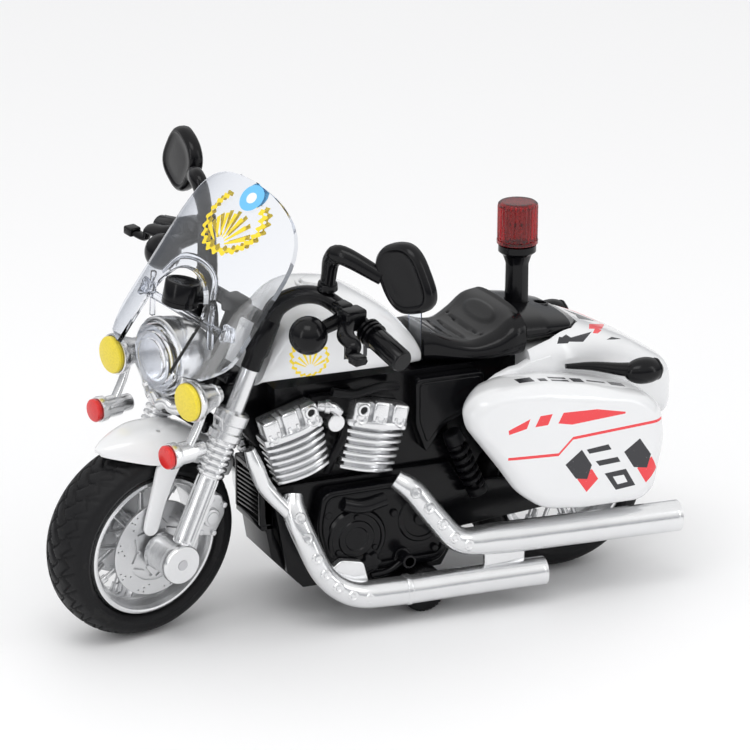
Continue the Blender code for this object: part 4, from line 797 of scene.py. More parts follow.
def fork():
    both("fork_leg_casting", fork_leg_shapes, silver_paint, "front_end", "silver_body", "fork_leg")
    both("brake_caliper", caliper_shapes, satin_silver, "front_end", "silver_body")
    both("axle_end", lambda: [turned([(0, 18.2), (1.3, 18.2), (1.3, 18.7), (0.8, 18.9), (0, 18.9)],
                                     FRONT_AXLE, SIDE,
                                     steps=24)], steel_paint, "front_wheel", "steel_pin")
    lower = block(fork_at(35.2, -8.6, 0) - Vector((3.0, 0, 1.6)),
                  fork_at(35.2, 8.6, 0) + Vector((3.0, 0, 1.6)), 0.8)
    upper = block(fork_at(49.6, -10.0, 0) - Vector((3.2, 0, 1.6)),
                  fork_at(49.6, 10.0, 0) + Vector((3.2, 0, 1.6)), 0.8)
    stem = rod(fork_at(35.2), fork_at(64.0), 2.2, sides=32)
    pod = headlight_centre() + Vector((-5.2, 0, 13.4))
    lean = Vector((-0.18, 0, 1)).normalized()
    can = turned([(0, -0.2), (4.4, -0.2), (4.75, 0.1), (4.75, 1.2), (4.6, 1.3), (4.6, 1.7), (4.75, 1.8),
                  (4.75, 6.1),
                  (4.5, 6.5), (3.9, 6.6), (3.7, 6.2), (0, 6.2)], pod, lean, steps=56)
    arm = tube([fork_at(50.5, 0, 2.0), fork_at(58, 0, 4.5), pod + Vector((-9.0, 0, -0.5)),
                pod + Vector((0, 0, 1.3))],
               1.7, sides=16)
    piece("steering_stem", [lower, upper, stem, can, arm], black_paint, "front_end", "black_body",
          ("steering_yoke",))


def headlight_centre():
    return fork_at(55.0) + Vector((19.0, 0, 1.2))


def headlight():
    centre, r, axis = headlight_centre(), 10.4, Vector((1, 0, 0))
    shell = turned([(0, -13.0), (r * 0.3, -12.9), (r * 0.55, -12.0), (r * 0.78, -9.4), (r * 0.92, -5.6),
                    (r * 0.97, -2.2),
                    (r * 0.97, -1.6), (r, -1.4), (r + 0.05, 0.0), (r - 0.35, 0.25), (r - 0.9, 0.0),
                    (r * 0.84, -2.6),
                    (r * 0.62, -5.4), (r * 0.3, -7.2), (0, -7.8)], centre, axis, steps=96)
    piece("headlight_bowl", [shell], silver_paint, "front_end", "silver_body", ("headlight_shell",))
    rings = [(0, 0.4), (r - 0.8, 0.4), (r - 0.7, 0.7), (r - 0.7, 1.3), (r - 1.2, 1.7)]
    for k in range(14):
        radius = (r - 1.6) * (1 - k / 14)
        rise = 3.6 - 2.0 * (radius / r) ** 2
        rings.append((radius, rise))
        if k in (2, 5):
            rings.append((radius - 0.25, rise + 0.22))
    rings.append((0, 3.62))
    piece("headlight_cover", [turned(rings, centre, axis, steps=96)], clear_paint, "front_end", "clear_body",
          ("headlight_lens",))
    bulb = turned([(0, -7.0), (1.6, -7.0), (1.6, -4.4), (1.9, -4.0), (1.9, -2.6), (1.3, -1.4), (0.5, -0.8),
                   (0, -0.7)],
                  centre, axis, steps=32)
    piece("headlight_bulb", [bulb], yellow_glass, "front_end", "clear_body")


yellow_glass = see_through("bulb_glass", (0.98, 0.96, 0.86), 0.08).made


def spot_centre():
    return fork_at(49.5, 17.3) + Vector((19.5, 0, 0.8))


def red_lamp_centre():
    return spot_centre() + Vector((5.4, -0.7, -14.5))


def lamp_shapes():
    """The left half of the lamp moulding: both housings, their straps and half the bar."""
    spot, red, axis = spot_centre(), red_lamp_centre(), Vector((1, 0, 0))
    shapes = [turned([(0, -9.2), (1.7, -9.2), (2.2, -8.8), (2.6, -7.6), (3.9, -4.2), (5.0, -2.0),
                      (5.45, -1.4), (5.55, -0.4),
                      (5.5, 0.15), (5.1, 0.3), (4.9, 0.0), (0, 0.0)], spot, axis, steps=64),
              turned([(0, -10.2), (2.1, -10.2), (2.3, -9.8), (2.3, -6.8), (2.9, -6.4), (2.9, -2.4),
                      (3.35, -2.0),
                      (3.5, -0.4), (3.4, 0.15), (3.1, 0.2), (3.0, 0.0), (0, 0.0)], red, axis, steps=48)]
    low, high = red + Vector((-5.2, 0.3, 1.2)), spot + Vector((-4.4, 0, -2.6))
    shapes.append(tube([low, low.lerp(high, 0.5) + Vector((-0.4, 0, 0)), high], 1.55, sides=16, flat=0.55))
    foot = spot_centre() + Vector((-6.0, -6.5, -5.5))
    shapes.append(tube([(foot.x + 3.4, 0.0, foot.z - 2.6), (foot.x + 3.0, 2.6, foot.z - 1.2),
                        (foot.x + 2.2, 5.2, foot.z - 2.2), (foot.x, foot.y, foot.z),
                        spot + Vector((-6.4, -1.6, -1.6))], [1.7, 1.5, 1.7, 1.6, 1.4], sides=16))
    shapes.append(ball((foot.x + 1.0, foot.y - 2.4, foot.z - 0.4), (1.9, 1.9, 1.9), 20))
    shapes.append(rod(spot + Vector((-7.4, 0, 0)), spot + Vector((-6.8, 0, 0)), 3.1, 3.1, sides=32,
                      bevel=0.15))
    return shapes


def lamps():
    shapes = lamp_shapes() + [right_of(bm) for bm in lamp_shapes()]
    piece("lamp_moulding", shapes, silver_paint, "front_end", "silver_body", ("lamp_bar",))
    axis = Vector((1, 0, 0))
    both("yellow_lamp_face", lambda: [turned([(0, 0.3), (4.85, 0.3), (5.0, 0.6), (5.0, 1.3), (4.7, 1.7),
                                              (3.4, 1.95),
                                              (1.8, 2.05), (0, 2.08)], spot_centre(), axis, steps=64)],
         yellow_paint, "front_end", "yellow_face", "spot_lens")
    both("red_lamp_face", lambda: [turned([(0, 0.3), (2.95, 0.3), (3.1, 0.6), (3.1, 1.3), (2.8, 1.65),
                                           (1.6, 1.85),
                                           (0, 1.9)], red_lamp_centre(), axis, steps=48)],
         red_paint, "front_end", "red_body", "red_lens")


def shield_ring(height, half_width, foot, thick=1.2):
    back = foot + Vector((-0.78 * height, 0, height))
    front, rear = [], []
    for k in range(31):
        y = half_width * (k / 15 - 1)
        bow = 7.5 * (y / 22.0) ** 2
        point = back + Vector((-bow, y, 0))
        front.append(point)
        rear.append(point + Vector((-thick, 0, -thick * 0.7)))
    return front + rear[::-1]


def windshield():
    """The clear shield: bowed, with its arch cut out over the headlight, and its bracket bar behind."""
    foot = headlight_centre() + Vector((8.0, 0, 1.2))
    w, h = 24.0, 43.0
    shares = []
    for k in range(25):
        s = (1 - math.cos(math.pi * k / 24)) / 2
        top = max(0.0, (s - 0.5) / 0.5)
        low = max(0.0, (0.14 - s) / 0.14)
        wide = math.sqrt(max(0.02, 1 - top ** 2.6)) * (1 - 0.22 * low ** 2.2)
        shares.append((s, wide))
    sheet = skin([shield_ring(h * s, w * wide, foot) for s, wide in shares])
    half, high = 11.6, 21.0
    arch = rod(foot + Vector((-60, 0, high - half)), foot + Vector((60, 0, high - half)), half, sides=72)
    slot = block(foot + Vector((-60, -half, -20)), foot + Vector((60, half, high - half)))
    sheet = cut(sheet, arch, slot)
    piece("windshield_sheet", [sheet], shield_paint, "front_end", "clear_body", ("windshield",), crease=40.0)
    rise, y = 10.5, 17.5
    x = foot.x - 0.78 * rise - 7.5 * (16.5 / 22.0) ** 2 - 1.4
    z = foot.z + rise - 0.4
    bar = block((x - 1.1, -y, z - 1.0), (x + 0.6, y, z + 1.0), 0.4)
    shapes = [bar]
    for side in (1, -1):
        a, b = sorted((side * 12.4, side * 13.8))
        shapes.append(block((x - 0.9, a, z - 6.0), (x + 0.4, b, z + 6.6), 0.35))
        c, d = sorted((side * 15.8, side * 19.6))
        shapes.append(block((x - 3.4, c, z - 2.4), (x - 2.0, d, z + 1.6), 0.3))
        e, f = sorted((side * 17.2, side * 18.4))
        shapes.append(block((x - 3.2, e, z - 2.2), (x + 0.2, f, z + 1.4), 0.3))
    arch_z = foot.z + high + 1.6
    arch_x = foot.x - 0.78 * (high + 1.6) - 1.8
    shapes.append(tube([(arch_x + 3.6, -11.0, arch_z - 6.0), (arch_x + 0.8, -7.6, arch_z - 1.2),
                        (arch_x, 0, arch_z + 0.6),
                        (arch_x + 0.8, 7.6, arch_z - 1.2), (arch_x + 3.6, 11.0, arch_z - 6.0)], 0.9, sides=12,
                       flat=0.7))
    piece("windshield_bracket", shapes, clear_paint, "front_end", "clear_body")


shield_paint = windshield_paint()


def fender_ring(angle, spread=1.0, skirt=25.1):
    """One closed section of the front fender, square to the tyre at that angle."""
    inner_r, outer_r, w = 31.0, 32.3, 9.9 * spread
    out = Vector((math.cos(angle), 0, math.sin(angle)))
    outer, inner = [], []
    for k in range(25):
        t = -1 + k / 12
        share = abs(t) ** 3.0
        side = math.copysign(abs(t) ** 0.85, t)
        outer.append((w * side, outer_r - (outer_r - skirt) * share))
        inner.append(((w - 1.1 * spread) * side, inner_r - (inner_r - skirt) * share))
    return [FRONT_AXLE + out * r + SIDE * y for y, r in outer + inner[::-1]]


def front_fender():
    """The front fender, narrowing to its lip, with the leaning stay on each side."""
    rings = []
    for k in range(41):
        degrees = 63.0 + 84.0 * (k / 40) ** 1.15
        t = min(1.0, (degrees - 62.4) / 24.0)
        tail = max(0.0, (degrees - 134.0) / 13.0)
        spread = t ** 0.55 * (1 - 0.3 * tail ** 2)
        skirt = 25.1 + 5.6 * (1 - t) ** 1.6 + 2.5 * tail ** 1.5
        rings.append(fender_ring(math.radians(degrees), spread, skirt))
    shapes = [skin(rings)]
    for side in (1, -1):
        outline = [(61.6, 34.0), (62.2, 32.6), (63.6, 31.8), (65.2, 32.2), (66.2, 33.6), (66.0, 36.0),
                   (63.8, 46.0),
                   (62.6, 52.0), (54.4, 52.0), (57.2, 47.0), (60.4, 39.0)]
        a, b = sorted((side * 8.5, side * 9.75))
        shapes.append(slab(soft_outline(outline, 1.6), a, b, 0.4))
    holes = [rod((59.2, side * 3.0, 50.0), (59.2, side * 5.2, 66.0), 0.6, sides=16) for side in (1, -1)]
    shapes[0] = cut(shapes[0], *holes)
    piece("front_mudguard", shapes, white_paint, "front_end", "white_body", ("front_fender",), crease=48.0)


def bar_route(side):
    top = fork_at(68.0, FORK_Y)
    points = [top + Vector(p) for p in ((0.4, 0, -1.5), (-1.0, 1.8, 3.6), (-4.0, 6.4, 7.6), (-7.6, 12.0, 8.4),
                                        (-11.0, 19.0, 5.2), (-12.2, 23.0, 3.6))]
    points.append(Vector((points[-1].x - 0.2, 53.0, points[-1].z - 3.9)))
    return [Vector((p.x, p.y * side, p.z)) for p in points]


def half_bar():
    """The left half of the handlebar: riser, bar, grip, switch block, signal and lever."""
    route = bar_route(1)
    y = FORK_Y
    shapes = [turned([(0, 53.3), (2.3, 53.3), (2.6, 53.8), (2.6, 57.4), (3.2, 58.4), (3.2, 67.0), (2.8, 68.2),
                      (0, 68.6)], STEER_FOOT + SIDE * y,
                     FORK_UP, steps=40)]
    shapes.append(tube(route, [2.7, 2.7, 2.5, 2.3, 2.3, 2.2, 2.2], sides=24))
    start, end = route[-2].lerp(route[-1], 0.12), route[-1] + SIDE * 0.5
    along = end - start
    ribs = [(0, 0)]
    length = along.length
    for k in range(3):
        at = k * 1.3
        ribs += [(2.5, at), (3.5, at + 0.2), (3.5, at + 0.8), (2.5, at + 1.0)]
    ribs += [(2.75, 4.2), (2.95, 4.6), (2.95, length - 0.6), (2.6, length), (0, length)]
    shapes.append(turned(ribs, start, along, steps=40))
    for k in range(10):
        a = 2 * math.pi * k / 10
        off = Vector((math.cos(a), 0, math.sin(a))) * 2.9
        shapes.append(rod(start + along * 0.28 + off, start + along * 0.95 + off, 0.22, sides=8))
    signal = route[4] + Vector((12.6, -0.5, -3.0))
    shapes.append(ball(signal, (5.0, 5.0, 5.0), 48))
    shapes.append(rod(route[4] + Vector((0, 0, 0)), signal, 2.1, 1.6, sides=20))
    perch = route[4] + Vector((1.5, 3.0, 0.5))
    shapes.append(block(perch - Vector((3.2, 2.4, 2.8)), perch + Vector((3.4, 2.4, 2.8)), 0.9))
    shapes.append(block(perch + Vector((-1.8, -6.0, 0.2)), perch + Vector((2.6, -1.6, 3.2)), 0.8))
    tip = Vector((route[-1].x + 12.0, 51.4, route[-1].z + 2.2))
    lever = tube([perch + Vector((1.6, 0.4, 0.0)), perch + Vector((5.6, 4.6, -1.6)),
                  perch + Vector((6.8, 9.6, -2.4)),
                  tip - Vector((1.6, 5.6, 1.0)), tip], [1.9, 2.3, 2.0, 1.7, 1.9], sides=24, flat=0.55)
    shapes.append(lever)
    shapes.append(block(tip - Vector((1.9, 3.2, 1.3)), tip + Vector((1.7, 0.4, 1.1)), 0.5))
    return shapes


def handlebar():
    shapes = half_bar() + [right_of(bm) for bm in half_bar()]
    cross = 66.5
    shapes.append(rod(fork_at(cross, -FORK_Y), fork_at(cross, FORK_Y), 2.0, sides=28))
    shapes.append(block(fork_at(cross, -3.6) - Vector((2.6, 0, 2.4)),
                        fork_at(cross, 3.6) + Vector((2.6, 0, 2.4)), 0.7))
    piece("handlebar_moulding", shapes, black_paint, "front_end", "black_body", ("handlebar",))


def mirror_frame():
    """Where the left mirror's head is, how it is turned, and where its stalk starts."""
    foot = bar_route(1)[3]
    head = Vector((foot.x - 8.0, foot.y + 22.8, foot.z + 11.8))
    turn = Matrix.Rotation(math.radians(10.0), 3, "Z") @ Matrix.Rotation(math.radians(24.0), 3, "X")
    return foot, head, turn


def mirror_ring(depth, share, swell=1.0):
    """An outline of the mirror's head: round at the bottom outside, drawn in towards the stalk."""
    foot, head, turn = mirror_frame()
    ring = []
    for k in range(72):
        a = 2 * math.pi * k / 72
        c, s = math.cos(a), math.sin(a)
        narrow = 1 - 0.20 * max(0.0, -c) * (0.5 + 0.5 * s)
        z = math.copysign(abs(s) ** 0.66, s) * 9.3 * share * narrow
        y = math.copysign(abs(c) ** 0.66, c) * 7.9 * share * swell - 0.14 * z
        ring.append(head + turn @ Vector((depth, y, z)))
    return ring


def mirror_shapes():
    """A mirror on its square bent stalk: a deep rim round a recessed, slightly domed back."""
    foot, head, turn = mirror_frame()
    seat = foot + Vector((-0.6, 0.8, 2.6))
    elbow = seat + Vector((0.4, 1.0, 6.6))
    stalk = tube([seat, seat.lerp(elbow, 0.6), elbow + Vector((0.2, 1.0, 2.2)),
                  elbow + Vector((-0.4, 4.6, 4.4)),
                  head + turn @ Vector((0.6, -7.4, 1.2))], [2.3, 2.2, 2.5, 2.5, 2.1], sides=24, flat=0.85)
    collar = rod(seat + Vector((0, 0, -0.1)), seat + Vector((0.1, 0.2, 1.8)), 2.8, 2.5, sides=32, bevel=0.3)
    rings = [mirror_ring(*step) for step in (
        (-1.7, 0.80), (-2.0, 0.84), (-1.95, 0.91), (-1.5, 0.97), (-0.6, 1.0), (0.6, 1.0), (1.5, 0.965),
                                             (2.0, 0.90),
        (2.05, 0.84), (1.8, 0.80), (1.62, 0.74), (1.7, 0.5), (1.78, 0.2))]
    return [skin(rings), stalk, collar]


def mirror_glass():
    return [skin([mirror_ring(-1.9, 0.79), mirror_ring(-1.78, 0.79), mirror_ring(-1.66, 0.78)])]


def front_end():
    fork()
    headlight()
    lamps()
    windshield()
    front_fender()
    handlebar()
    both("mirror_head", mirror_shapes, black_paint, "front_end", "black_body", "mirror")
    both("mirror_face", mirror_glass, satin_silver, "front_end", "silver_body")


# ---------------------------------------------------------------- frame and engine

def cylinder_shapes(front):
    """A finned cylinder cover: barrel fins, a plain band and the rocker cover's blocks and bolts."""
    cx, cz = (22.4, 52.6) if front else (0.0, 51.4)
    centre = Vector((cx, 0, cz))
    inner, z0 = 10.3, cz - 10.0
    shapes = []

    def layer(low, high, half, outer, bevel, bulge=2.2):
        outline = []
        for k in range(13):
            t = k / 12 * 2 - 1
            outline.append((cx + half * t, outer - bulge * t * t))
        bm = bmesh.new()
        base = [bm.verts.new((x, y, low)) for x, y in outline]
        base += [bm.verts.new((cx + half, inner, low)), bm.verts.new((cx - half, inner, low))]
        face = bm.faces.new(base)
        made = bmesh.ops.extrude_face_region(bm, geom=[face])
        bmesh.ops.translate(bm, verts=[v for v in made["geom"] if isinstance(v, bmesh.types.BMVert)],
                            vec=(0, 0, high - low))
        bmesh.ops.recalc_face_normals(bm, faces=bm.faces)
        return rounded(bm, bevel, 2, 40.0)

    shapes.append(layer(z0 + 0.2, z0 + 12.6, 6.6, 15.6, 0.3, 1.4))
    for k in range(6):
        low = z0 + 0.1 + k * 2.05
        shapes.append(layer(low, low + 1.0, 8.3 - 0.1 * (5 - k), 18.2 - 0.22 * (5 - k), 0.28, 2.2))
    shapes.append(layer(z0 + 12.3, z0 + 14.3, 8.5, 18.4, 0.4, 1.8))
    shapes.append(layer(z0 + 13.9, z0 + 19.0, 7.4, 15.8, 0.5, 1.0))
    for k, at in enumerate((-5.6, 0.0, 5.6)):
        width = 2.3
        top = z0 + (19.6 if k == 1 else 19.2)
        shapes.append(block((cx + at - width, 12.0, z0 + 13.8), (cx + at + width, 17.6, top), 0.8))
        shapes.append(tube([(cx + at - 1.2, 17.5, z0 + 15.6), (cx + at - 1.1, 17.6, z0 + 14.4),
                            (cx + at, 17.9, z0 + 13.6), (cx + at + 1.1, 17.6, z0 + 14.4),
                            (cx + at + 1.2, 17.5, z0 + 15.6)], 0.5, sides=10, per_span=3))
    hole_x = cx + (-5.6 if front else 5.6)
    shapes.append(turned([(0.95, 0.0), (1.75, 0.0), (1.85, 0.3), (1.6, 0.75), (1.1, 0.8), (0.9, 0.5)],
                         (hole_x, 17.4, z0 + 17.2), SIDE, steps=28, closed=True))
    for at in (-6.9, 6.9):
        shapes.append(rod((cx + at, 15.4, z0 + 13.2), (cx + at, 17.9, z0 + 13.2), 0.75, 0.65, sides=14,
                          bevel=0.15))
    turn = 16.0 if front else -12.0
    return [leaning(bm, turn, centre) for bm in shapes]


def cylinders():
    for front, word in ((True, "front"), (False, "rear")):
        both(f"{word}_barrel", lambda front=front: cylinder_shapes(front), silver_paint, "chassis",
             "silver_body",
             f"{word}_cylinder")

        # Painted shade: a near-black disc set inside each bolt-hole ring stands in for the shade in the hole.
        def dark(front=front):
            cx, cz = (22.4, 52.6) if front else (0.0, 51.4)
            spot = Vector((cx + (-5.6 if front else 5.6), 17.3, cz + 7.2))
            return [leaning(rod(spot, spot + SIDE * 0.35, 0.95, sides=20), 16.0 if front else -12.0,
                            Vector((cx, 0, cz)))]

        both(f"{word}_bolt_hole", dark, hole_shade_paint, "chassis", "black_body")

    def hoses():
        low = [(15.4, 13.4, 61.0), (11.8, 14.6, 60.6), (9.6, 14.0, 58.6)]
        pipe = tube(low, 1.5, sides=16)
        ring = rod((13.6, 14.0, 60.9), (12.2, 14.5, 60.7), 2.0, sides=20, bevel=0.2)
        return [pipe, ring, rod((10.6, 12.0, 56.0), (10.6, 15.2, 56.0), 2.6, 2.4, sides=24, bevel=0.3)]

    both("intake_pipe", hoses, silver_paint, "chassis", "silver_body")

    def dark_hoses():
        return [tube([(-7.4, 13.4, 63.4), (-2.0, 15.0, 64.6), (6.0, 15.4, 63.6), (12.0, 15.2, 65.0)], 1.2,
                     sides=12),
                tube([(6.6, 13.2, 56.4), (9.0, 15.4, 52.0), (11.6, 14.8, 46.6), (12.4, 12.8, 42.0)], 1.1,
                     sides=12),
                block((4.0, 10.4, 57.0), (17.0, 13.0, 63.6), 0.6)]

    both("hoses", dark_hoses, satin_black, "chassis", "black_body")


def engine_cover_shapes():
    """The black engine cover: a raised plate with rim arcs, bolts, a pill boss, a star knob and the peg."""
    y = 17.8
    outline = [(15.5, 38.0), (17.5, 28.0), (14.0, 13.4), (-19.0, 13.4), (-22.0, 20.0), (-20.0, 29.0),
               (-10.0, 38.0)]
    shapes = [slab(soft_outline(outline, 3.0), 12.3, y, 0.8)]
    inset = [(13.0, 35.0), (14.6, 28.0), (11.8, 16.2), (-17.8, 16.2), (-19.4, 20.4), (-18.0, 27.4),
             (-9.0, 35.0)]
    ring = slab(soft_outline([(14.6, 36.8), (16.4, 28.0), (13.2, 14.6), (-18.4, 14.6), (-21.0, 20.0),
                              (-19.2, 28.4),
                              (-9.6, 36.8)], 3.0), y - 0.6, y + 0.7, 0.35)
    shapes.append(cut(ring, slab(soft_outline(inset, 3.0), y - 3, y + 3)))
    cx, cz = 6.4, 24.0
    shapes.append(turned([(0, y - 1), (8.6, y - 1), (8.6, y + 0.4), (8.0, y + 1.1), (7.2, y + 1.15),
                          (6.9, y + 0.7),
                          (5.2, y + 0.7), (4.9, y + 1.0), (3.4, y + 1.05), (3.1, y + 0.75), (0, y + 0.75)],
                         (cx, 0, cz), SIDE, steps=72))
    for k in range(3):
        a = math.radians(90 + k * 120)
        spot = Vector((cx + 6.1 * math.cos(a), y + 0.6, cz + 6.1 * math.sin(a)))
        shapes.append(rod(spot, spot + SIDE * 0.55, 0.85, 0.7, sides=16, bevel=0.12))
    pill = tube([(10.4, y + 1.0, 34.6), (5.0, y + 1.3, 33.2), (-1.6, y + 1.0, 34.2)], 1.9, sides=20)
    shapes.append(pill)
    gx, gz = -12.6, 26.8
    shapes.append(turned([(0, y - 1), (6.6, y - 1), (6.6, y + 0.2), (6.2, y + 0.6), (5.2, y + 0.6),
                          (5.0, y + 0.2),
                          (0, y + 0.2)], (gx, 0, gz), SIDE, steps=56))
    shapes.append(turned([(0, y), (2.0, y), (2.0, y + 0.9), (1.5, y + 1.2), (0, y + 1.2)], (gx, 0, gz), SIDE,
                         steps=32))
    for x, z in ((13.0, 18.4), (14.4, 31.8), (-5.4, 16.4), (-16.6, 17.8), (-4.6, 29.6)):
        shapes.append(rod((x, y - 0.2, z), (x, y + 1.0, z), 1.15, 0.95, sides=18, bevel=0.2))
    kx, kz = 2.4, 16.8
    star = []
    for k in range(48):
        a = 2 * math.pi * k / 48
        radius = 2.6 + 0.45 * math.cos(6 * a)
        star.append((kx + radius * math.cos(a), kz + radius * math.sin(a)))
    shapes.append(slab(star, y - 0.4, y + 1.8, 0.3))
    peg = Vector((-7.0, y - 1.5, 17.0))
    shapes.append(rod(peg, peg + SIDE * 7.0, 1.7, 1.6, sides=24, bevel=0.3))
    shapes.append(rod(peg + SIDE * 1.2, peg + SIDE * 2.4, 2.3, 2.3, sides=24, bevel=0.25))
    shapes.append(rod(peg + SIDE * 5.9, peg + SIDE * 7.0, 1.95, 1.9, sides=24, bevel=0.25))
    shapes.append(tube([(-7.0, y + 1.2, 16.0), (-2.6, y + 1.4, 13.6), (2.4, y + 1.3, 13.0)], 0.9, sides=12))
    return shapes


def grille():
    """The black radiator with slanting fins, its frame and the chin."""
    y = 9.2
    back, front, chin = 26.3, 28.0, 21.0
    low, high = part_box("motor_case_left")
    chin = (PLACE.inverted() @ high).x + 0.3
    outline = [(back, 41.0), (front + 1.2, 41.0), (front + 1.0, 30.0), (front - 1.0, 18.0),
               (front - 8.6, 9.9),
               (chin, 9.9), (chin + 0.6, 12.6), (back - 3.0, 19.0), (back, 25.0)]
    shapes = [slab(outline, -y, y, 0.3)]
    for k in range(9):
        z = 29.6 + k * 1.25
        bm = block((back + 0.6, -y + 1.4, z), (front + 2.0, y - 1.4, z + 0.6), 0.15)
        bmesh.ops.rotate(bm, verts=bm.verts, cent=(front, 0, z),
                         matrix=Matrix.Rotation(math.radians(5.0), 3, "X"))
        shapes.append(bm)
    for side in (1, -1):
        a, b = sorted((side * 7.6, side * 9.2))
        shapes.append(block((back, a, 27.6), (front + 2.1, b, 42.6), 0.5))
    shapes.append(block((back, -y, 40.8), (front + 2.1, y, 42.6), 0.5))
    shapes.append(block((back - 0.4, -y, 26.2), (front + 1.9, y, 28.2), 0.5))
    piece("radiator", shapes, black_paint, "chassis", "black_body", ("engine_grille",))


def exhaust_routes():
    m, end, y = 0.0, -61.0, 22.6
    lower = [(m + 23.4, y - 6.6, 38.2), (m + 24.0, y - 4.6, 34.5), (m + 22.0, y - 1.4, 27.0),
             (m + 17.0, y, 16.5),
             (m + 9.0, y + 0.6, 10.6), (m - 2.0, y + 1.0, 9.5), (m - 22.0, y + 2.0, 9.5),
             (end + 15.4, y + 3.4, 9.5)]
    upper = [(m - 4.6, y - 3.2, 39.6), (m - 8.6, y - 0.6, 36.4), (m - 14.0, y + 1.2, 29.0),
             (m - 21.0, y + 1.8, 21.6),
             (m - 32.0, y + 2.4, 20.6), (m - 50.0, y + 4.6, 20.8), (end - 23.0, y + 7.6, 21.0)]
    return lower, upper


def dimples(route, first, last, count):
    """Round raised studs down the outside of a header pipe."""
    points = flowing([Vector(p) for p in route], 12)
    total, spots = 0.0, []
    lengths = [0.0]
    for a, b in zip(points, points[1:]):
        total += (b - a).length
        lengths.append(total)
    for k in range(count):
        want = total * (first + (last - first) * k / (count - 1))
        i = next(j for j, length in enumerate(lengths) if length >= want)
        along = (points[i] - points[i - 1]).normalized()
        out = (SIDE - along * SIDE.dot(along)).normalized()
        foot = points[i] + out * 2.6
        spots.append(turned([(0, 0), (1.55, 0), (1.6, 0.75), (1.35, 1.05), (0.9, 1.1), (0.6, 0.85), (0, 0.8)],
                            foot, out,
                            steps=28))
    return spots


def exhaust_shapes():
    """Both header pipes with their studs, both silencers with their rims, the web and the frame tube."""
    lower, upper = exhaust_routes()
    shapes = [tube(lower, [2.6, 3.2, 3.2, 3.2, 3.6, 3.9, 3.9, 3.9], sides=32, per_span=8),
              tube(upper, [2.6, 3.2, 3.2, 3.5, 4.3, 4.3, 4.3], sides=32, per_span=8)]
    shapes += dimples(lower, 0.07, 0.42, 7)
    shapes += dimples(upper, 0.06, 0.30, 5)
    for route, radius in ((lower, 3.9), (upper, 4.3)):
        end = Vector(route[-1])
        along = (end - Vector(route[-2])).normalized()
        shapes.append(turned([(0, -1.4), (radius, -1.4), (radius, -0.9), (radius - 0.25, -0.25),
                              (radius - 0.8, 0.0),
                              (radius - 1.5, 0.02), (radius - 1.8, -0.5), (0, -0.8)], end, along, steps=48))
    spot = Vector(lower[5])
    shapes.append(rod(spot + Vector((-3.2, 0.1, 0)), spot + Vector((-4.8, 0.2, 0)), 4.2, 4.2, sides=32,
                      bevel=0.3))
    shapes.append(slab(soft_outline([(15.4, 17.4), (12.0, 19.8), (5.6, 18.4), (4.0, 12.4), (9.6, 11.4),
                                     (14.6, 13.4)], 1.0),
                       19.0, 21.6, 0.4))
    shapes.append(block((-40.0, 24.2, 11.0), (-28.0, 25.8, 19.0), 0.5))
    shapes.append(tube([(35.6, 15.8, 52.6), (34.0, 16.2, 48.0), (31.4, 16.4, 41.6), (25.4, 18.4, 34.0)],
                       [1.5, 2.1, 2.1, 1.8], sides=24))
    return shapes


def shock_shapes():
    top, foot = Vector((-22.5, 15.6, 49.0)), Vector((-30.5, 15.6, 31.0))
    along = (top - foot).normalized()
    side = SIDE
    up = along.cross(side)
    coil = []
    for k in range(6 * 12 + 1):
        a = 2 * math.pi * k / 12
        coil.append(foot + along * (2.4 + 13.6 * k / 72) + (side * math.cos(a) + up * math.sin(a)) * 2.35)
    shapes = [tube(coil, 0.62, sides=10, per_span=1), rod(foot, top, 1.5, sides=24)]
    shapes.append(rod(foot - along * 0.2, foot + along * 2.0, 2.9, 2.9, sides=28, bevel=0.3))
    shapes.append(rod(top - along * 3.2, top, 2.9, 2.6, sides=28, bevel=0.3))
    return shapes


def frame_shapes():
    """The left frame half: backbone, side plate, arm to the head, steering ring and the ribbed side cover."""
    backbone = [(26.0, 26.6), (26.0, 66.0), (-57.86, 66.0), (-57.86, 56.84), (-47.85, 53.96), (-39.7, 44.63),
                (-33.6, 39.2),
                (-27.0, 26.6)]
    plate = [(28.0, 39.4), (23.5, 14.5), (19.0, 9.6), (-21.5, 9.6), (-27.5, 20.0), (-62.0, 22.5),
             (-65.5, 25.5),
             (-65.5, 29.0), (-62.0, 31.5), (-27.5, 33.0), (-23.5, 39.4)]
    head = fork_at(43.25)
    neck = [(23.0, 44.0), (27.0, 46.0), (head.x - 1.0, head.z - 3.4), (head.x - 2.4, head.z + 1.4),
            (23.0, 65.8)]
    ring = rod(fork_at(39.2), fork_at(47.3), 4.4, sides=40, bevel=0.4)
    bmesh.ops.bisect_plane(ring, geom=ring.verts[:] + ring.edges[:] + ring.faces[:], plane_co=(0, 0.15, 0),
                           plane_no=(0, -1, 0), clear_outer=True)
    bmesh.ops.holes_fill(ring, edges=ring.edges)
    shapes = [slab(backbone, 0.15, 9.9), slab(plate, 9.8, 12.0, 0.4), slab(neck, 0.15, 4.1, 0.4),
              cut(ring, rod(fork_at(36.0), fork_at(50.0), 2.5, sides=32))]
    panel = [(-12.6, 64.5), (-12.6, 52.0), (-15.6, 43.5), (-20.6, 50.5), (-32.6, 56.5), (-32.6, 64.5)]
    shapes.append(slab(soft_outline(panel, 1.6), 9.8, 14.4, 0.7))
    ledge = [(-13.6, 63.6), (-13.6, 53.0), (-15.8, 46.4), (-20.2, 52.0), (-31.6, 57.6), (-31.6, 63.6)]
    shapes.append(slab(soft_outline(ledge, 1.4), 14.1, 14.9, 0.35))
    shapes.append(rod((-61.0, 11.9, 27.0), (-61.0, 13.4, 27.0), 3.4, 3.0, sides=32, bevel=0.3))
    return shapes


